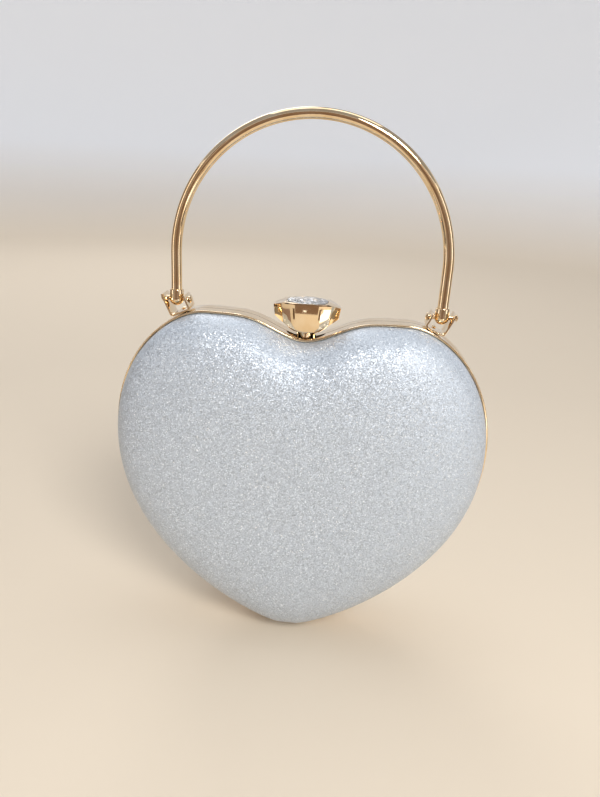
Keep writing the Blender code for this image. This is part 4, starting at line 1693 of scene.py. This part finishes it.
@dataclass
class CatchWorks:
    """Spring and leaf that give way to the press, and the stiff pieces round them."""

    stiff_nodes: tuple[str, ...] = ("clasp_cage", "clasp_nut", "catch_striker")
    travel: float = 1.0 * MM
    wire: float = 0.35 * MM
    wire_sides: int = 10
    turns: int = 4
    turn_steps: int = 24
    leaf: float = 0.6 * MM
    flange: float = 2.8 * MM
    tooth: float = 2.0 * MM
    arm_steps: int = 10
    bend: tuple[float, float] = (1.2 * MM, 0.5 * MM)
    edge: float = 0.08 * MM

    def spring(self) -> Object:
        """Sweep the wire's round section along the coil.

        Returns:
            The spring.
        """
        low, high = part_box("clasp_spring")
        radius = high.y - self.wire
        floor, rise = low.z + self.wire, high.z - low.z - 2 * self.wire
        steps, up = self.turns * self.turn_steps, Vector((0, 0, 1))
        section = [FULL_TURN * k / self.wire_sides for k in range(self.wire_sides)]
        rings = []
        for i in range(steps + 1):
            angle = FULL_TURN * i / self.turn_steps
            out = Vector((math.cos(angle), math.sin(angle), 0))
            middle = out * radius + up * (floor + rise * i / steps)
            rings.append([middle + self.wire * (out * math.cos(t) + up * math.sin(t))
                          for t in section])
        return to_object(stacked(rings), "clasp_spring_coil")

    def leaf_piece(self) -> Object:
        """Bend the leaf from its flange down, forward and up into the tooth.

        Returns:
            The leaf, with steps along its arm so that it can bend.
        """
        low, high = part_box("catch_leaf")
        half = self.leaf / 2
        front, back = low.y + half, high.y - half
        arm_z, flange_z = low.z + half, high.z - half
        corners = ((self.flange, flange_z), (back, flange_z), (back, arm_z), (front, arm_z),
                   (front, arm_z + self.tooth))
        line = bent_line([Vector(corner) for corner in corners], self.leaf, 7)
        arm = max(range(len(line) - 1), key=lambda i: abs(line[i + 1].x - line[i].x))
        line[arm + 1:arm + 1] = [line[arm].lerp(line[arm + 1], i / self.arm_steps)
                                 for i in range(1, self.arm_steps)]
        points = [Vector((low.x, p.x, p.y)) for p in line]
        return bent_strip("catch_leaf_bent", points, Vector((high.x - low.x, 0, 0)), self.leaf,
                          self.edge, 2)

    def build(self, dresser: Dresser) -> None:
        """Coat the stiff pieces; make the spring with a mesh of its own, and the leaf with its
        place baked into its mesh.

        Args:
            dresser: Places the finished pieces.
        """
        for node in self.stiff_nodes:
            dresser.coat_node(node, dresser.palette.nickel)
        coil = dresser.nickel(self.spring(), Body.REAR, "clasp_spring")
        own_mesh(coil)
        leaf = dresser.nickel(self.leaf_piece(), None, "catch_leaf")
        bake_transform(leaf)


# Studio


@dataclass(frozen=True)
class RingCard:
    """A card bent round the clutch; angles run from the camera's side to the right.

    Its lower and upper edge are given as distance from the middle and height.
    """

    name: str
    start: float
    end: float
    colour: str
    glow: float = 0.0
    near: tuple[float, float] = (0.62, 0.003)
    far: tuple[float, float] = (1.05, 0.75)


LIT_EDGES = ((0.60, 0.005), (1.02, 0.75))
FACET_EDGES = ((0.33, 0.004), (0.50, 0.004))
STRIPE_EDGES = ((0.36, 0.004), (0.52, 0.004))
END_EDGES = ((0.36, 0.004), (0.56, 0.004))
# Every card shows only in the metal as a painted reflection, and those with a glow glow though they
# are no lamp
CARDS: tuple[RingCard, ...] = (
    # Standing: the tall dark and pale bands that run down the handle's legs
    RingCard("card_left_strip", -69, -61, "#FFFBF5", 1.6, *LIT_EDGES),
    RingCard("card_right_strip", 64, 73, "#FFFFFF", 1.8, *LIT_EDGES),
    RingCard("card_left_side", -112, -93, "#5E4C3E"),
    RingCard("card_left_far", -93, -56, "#A8988C"),
    RingCard("card_left_pale", -56, -42, "#CFC4BA"),
    RingCard("card_left_line", -42, -34, "#43352A"),
    RingCard("card_left_near", -34, -20, "#B3A398"),
    RingCard("card_front_far", -20, 22, "#877264"),
    RingCard("card_right_near", 22, 32, "#B3A398"),
    RingCard("card_right_line", 32, 40, "#43352A"),
    RingCard("card_right_pale", 40, 54, "#CFC4BA"),
    RingCard("card_right_far", 54, 92, "#A8988C"),
    RingCard("card_right_side", 92, 108, "#5E4C3E"),
    # Lying: what the clasp's facets, which lean forward, pick up from below
    RingCard("card_low_dark", -12, 9, "#7A6352", 0.0, (0.436, 0.003), (0.90, 0.003)),
    RingCard("card_low_glint", -5, -3, "#FFFFFF", 1.2, (0.466, 0.005), (0.488, 0.005)),
    RingCard("card_left_stripe", -24, -14, "#5E4938", 0.0, *STRIPE_EDGES),
    RingCard("card_left_facet", -52, -33, "#97837A", 0.0, *FACET_EDGES),
    RingCard("card_left_edge", -80, -56, "#3E2F24", 0.0, *END_EDGES),
    RingCard("card_left_end", -104, -82, "#B7A58A", 0.0, *END_EDGES),
    RingCard("card_right_stripe", 14, 24, "#5E4938", 0.0, *STRIPE_EDGES),
    RingCard("card_right_facet", 27, 40, "#FFFFFF", 1.3, *FACET_EDGES),
    RingCard("card_right_edge", 46, 72, "#3E2F24", 0.0, *END_EDGES),
)


@dataclass(frozen=True)
class Lamp:
    """A rectangular soft light that faces the clutch."""

    name: str
    at: tuple[float, float, float]
    size: tuple[float, float]
    watts: float
    colour: str = "#FFFFFF"


LAMPS: tuple[Lamp, ...] = (
    Lamp("key", (0.44, -0.88, 0.84), (0.45, 0.4), 11.5, "#FFFEFC"),
    Lamp("top", (0.0, 0.25, 1.5), (1.2, 0.8), 4.0),
    Lamp("back", (-0.5, 1.2, 1.0), (0.8, 0.6), 5.0),
)


@dataclass
class Studio:
    """Pale floor that curves up into a cove, soft lights and the camera."""

    cove_radius: float = 2.2
    cove_bend: float = 0.6
    cove_height: float = 1.5
    cove_facets: int = 96
    floor_ring: float = 0.4
    lamp_aim: tuple[float, float, float] = (0.0, 0.0, 0.1)
    sky_colour: str = "#DADCE2"
    sky_strength: float = 0.52
    camera_at: tuple[float, float, float] = (0.0199, -0.29835, 0.2345)
    camera_yaw: float = -4.01
    camera_pitch: float = 20.0
    camera_roll: float = 3.35
    lens: float = 29.57
    sensor: float = 36.0
    clip: tuple[float, float] = (0.01, 50.0)

    def cove(self) -> None:
        """Spin the floor and the wall's profile once round the object."""
        reach, bend = self.cove_radius, self.cove_bend
        profile = [(0.0, 0.0), (self.floor_ring, 0.0), (reach - bend, 0.0)]
        profile += arc((reach - bend, bend), bend, -90, 0, 12)[1:]
        bm = turned(profile + [(reach, self.cove_height)], self.cove_facets)
        centre = min(bm.faces, key=lambda face: face.calc_center_median().length)
        centre.normal_update()
        if centre.normal.z < 0:
            bmesh.ops.reverse_faces(bm, faces=bm.faces)
        cove = to_object(bm, "cove")
        cove.data.shade_smooth()
        cove.data.materials.append(PaleBoard().material())

    def card(self, card: RingCard) -> None:
        """Bend a card round the clutch that only shows in polished metal.

        Args:
            card: Its place, colour and glow.
        """
        turn = Matrix.Rotation(math.radians(card.start), 3, "Z")
        line = [turn @ Vector((0, -radius, height)) for radius, height in (card.near, card.far)]
        made = to_object(spun(line, math.radians(card.end - card.start), 8), card.name)
        made.data.materials.append(MatteCard(card.colour, card.glow).material())
        made.visible_camera = False
        made.visible_diffuse = False
        made.visible_transmission = False
        made.visible_shadow = False

    def lamp(self, lamp: Lamp) -> None:
        """Hang a soft light.

        Args:
            lamp: Its place, size, power and colour.
        """
        data = bpy.data.lights.new(lamp.name, "AREA")
        data.shape = "RECTANGLE"
        data.size, data.size_y = lamp.size
        data.energy = lamp.watts
        data.color = linear(lamp.colour)[:3]
        made = bpy.data.objects.new(lamp.name, data)
        made.location = lamp.at
        aim = Vector(self.lamp_aim) - Vector(lamp.at)
        made.rotation_euler = aim.to_track_quat("-Z", "Y").to_euler()
        bpy.context.scene.collection.objects.link(made)

    def world(self) -> None:
        """Dim, even sky for the fill, without a picture."""
        world = bpy.data.worlds.new("studio")
        world.use_nodes = True
        sky = world.node_tree.nodes["Background"]
        sky.inputs["Color"].default_value = linear(self.sky_colour)
        sky.inputs["Strength"].default_value = self.sky_strength
        bpy.context.scene.world = world

    def camera(self) -> None:
        """Place the camera as the photograph was taken."""
        data = bpy.data.cameras.new("camera")
        data.lens = self.lens
        data.sensor_width = self.sensor
        data.clip_start, data.clip_end = self.clip
        made = bpy.data.objects.new("camera", data)
        yaw, pitch = math.radians(self.camera_yaw), math.radians(self.camera_pitch)
        ahead = Vector((math.sin(yaw) * math.cos(pitch), math.cos(yaw) * math.cos(pitch),
                        -math.sin(pitch)))
        turn = ahead.to_track_quat("-Z", "Y").to_matrix().to_4x4()
        roll = Matrix.Rotation(math.radians(self.camera_roll), 4, "Z")
        made.matrix_world = Matrix.Translation(self.camera_at) @ turn @ roll
        bpy.context.scene.collection.objects.link(made)
        bpy.context.scene.camera = made

    def build(self) -> None:
        """Set the stage."""
        self.cove()
        for card in CARDS:
            self.card(card)
        for lamp in LAMPS:
            self.lamp(lamp)
        self.world()
        self.camera()
        bpy.context.scene.view_settings.view_transform = "Standard"


def main() -> None:
    """Build every sub-assembly in order."""
    logging.basicConfig(level=logging.INFO, format="%(message)s")
    dresser = Dresser(Palette())
    outline = HeartOutline()
    brackets = [ShoulderBracket(outline, "left", -1), ShoulderBracket(outline, "right", 1)]
    for half in Half:
        FrameHalf(outline, half).build(dresser)
        DomedWall(outline, half).build(dresser)
    TipHinge().build(dresser)
    for bracket in brackets:
        bracket.build(dresser)
    ArchHandle(brackets[1].pivot()).build(dresser)
    PressClasp(outline.notch_z).build(dresser)
    CatchWorks().build(dresser)
    Studio().build()


if __name__ == "__main__":
    main()
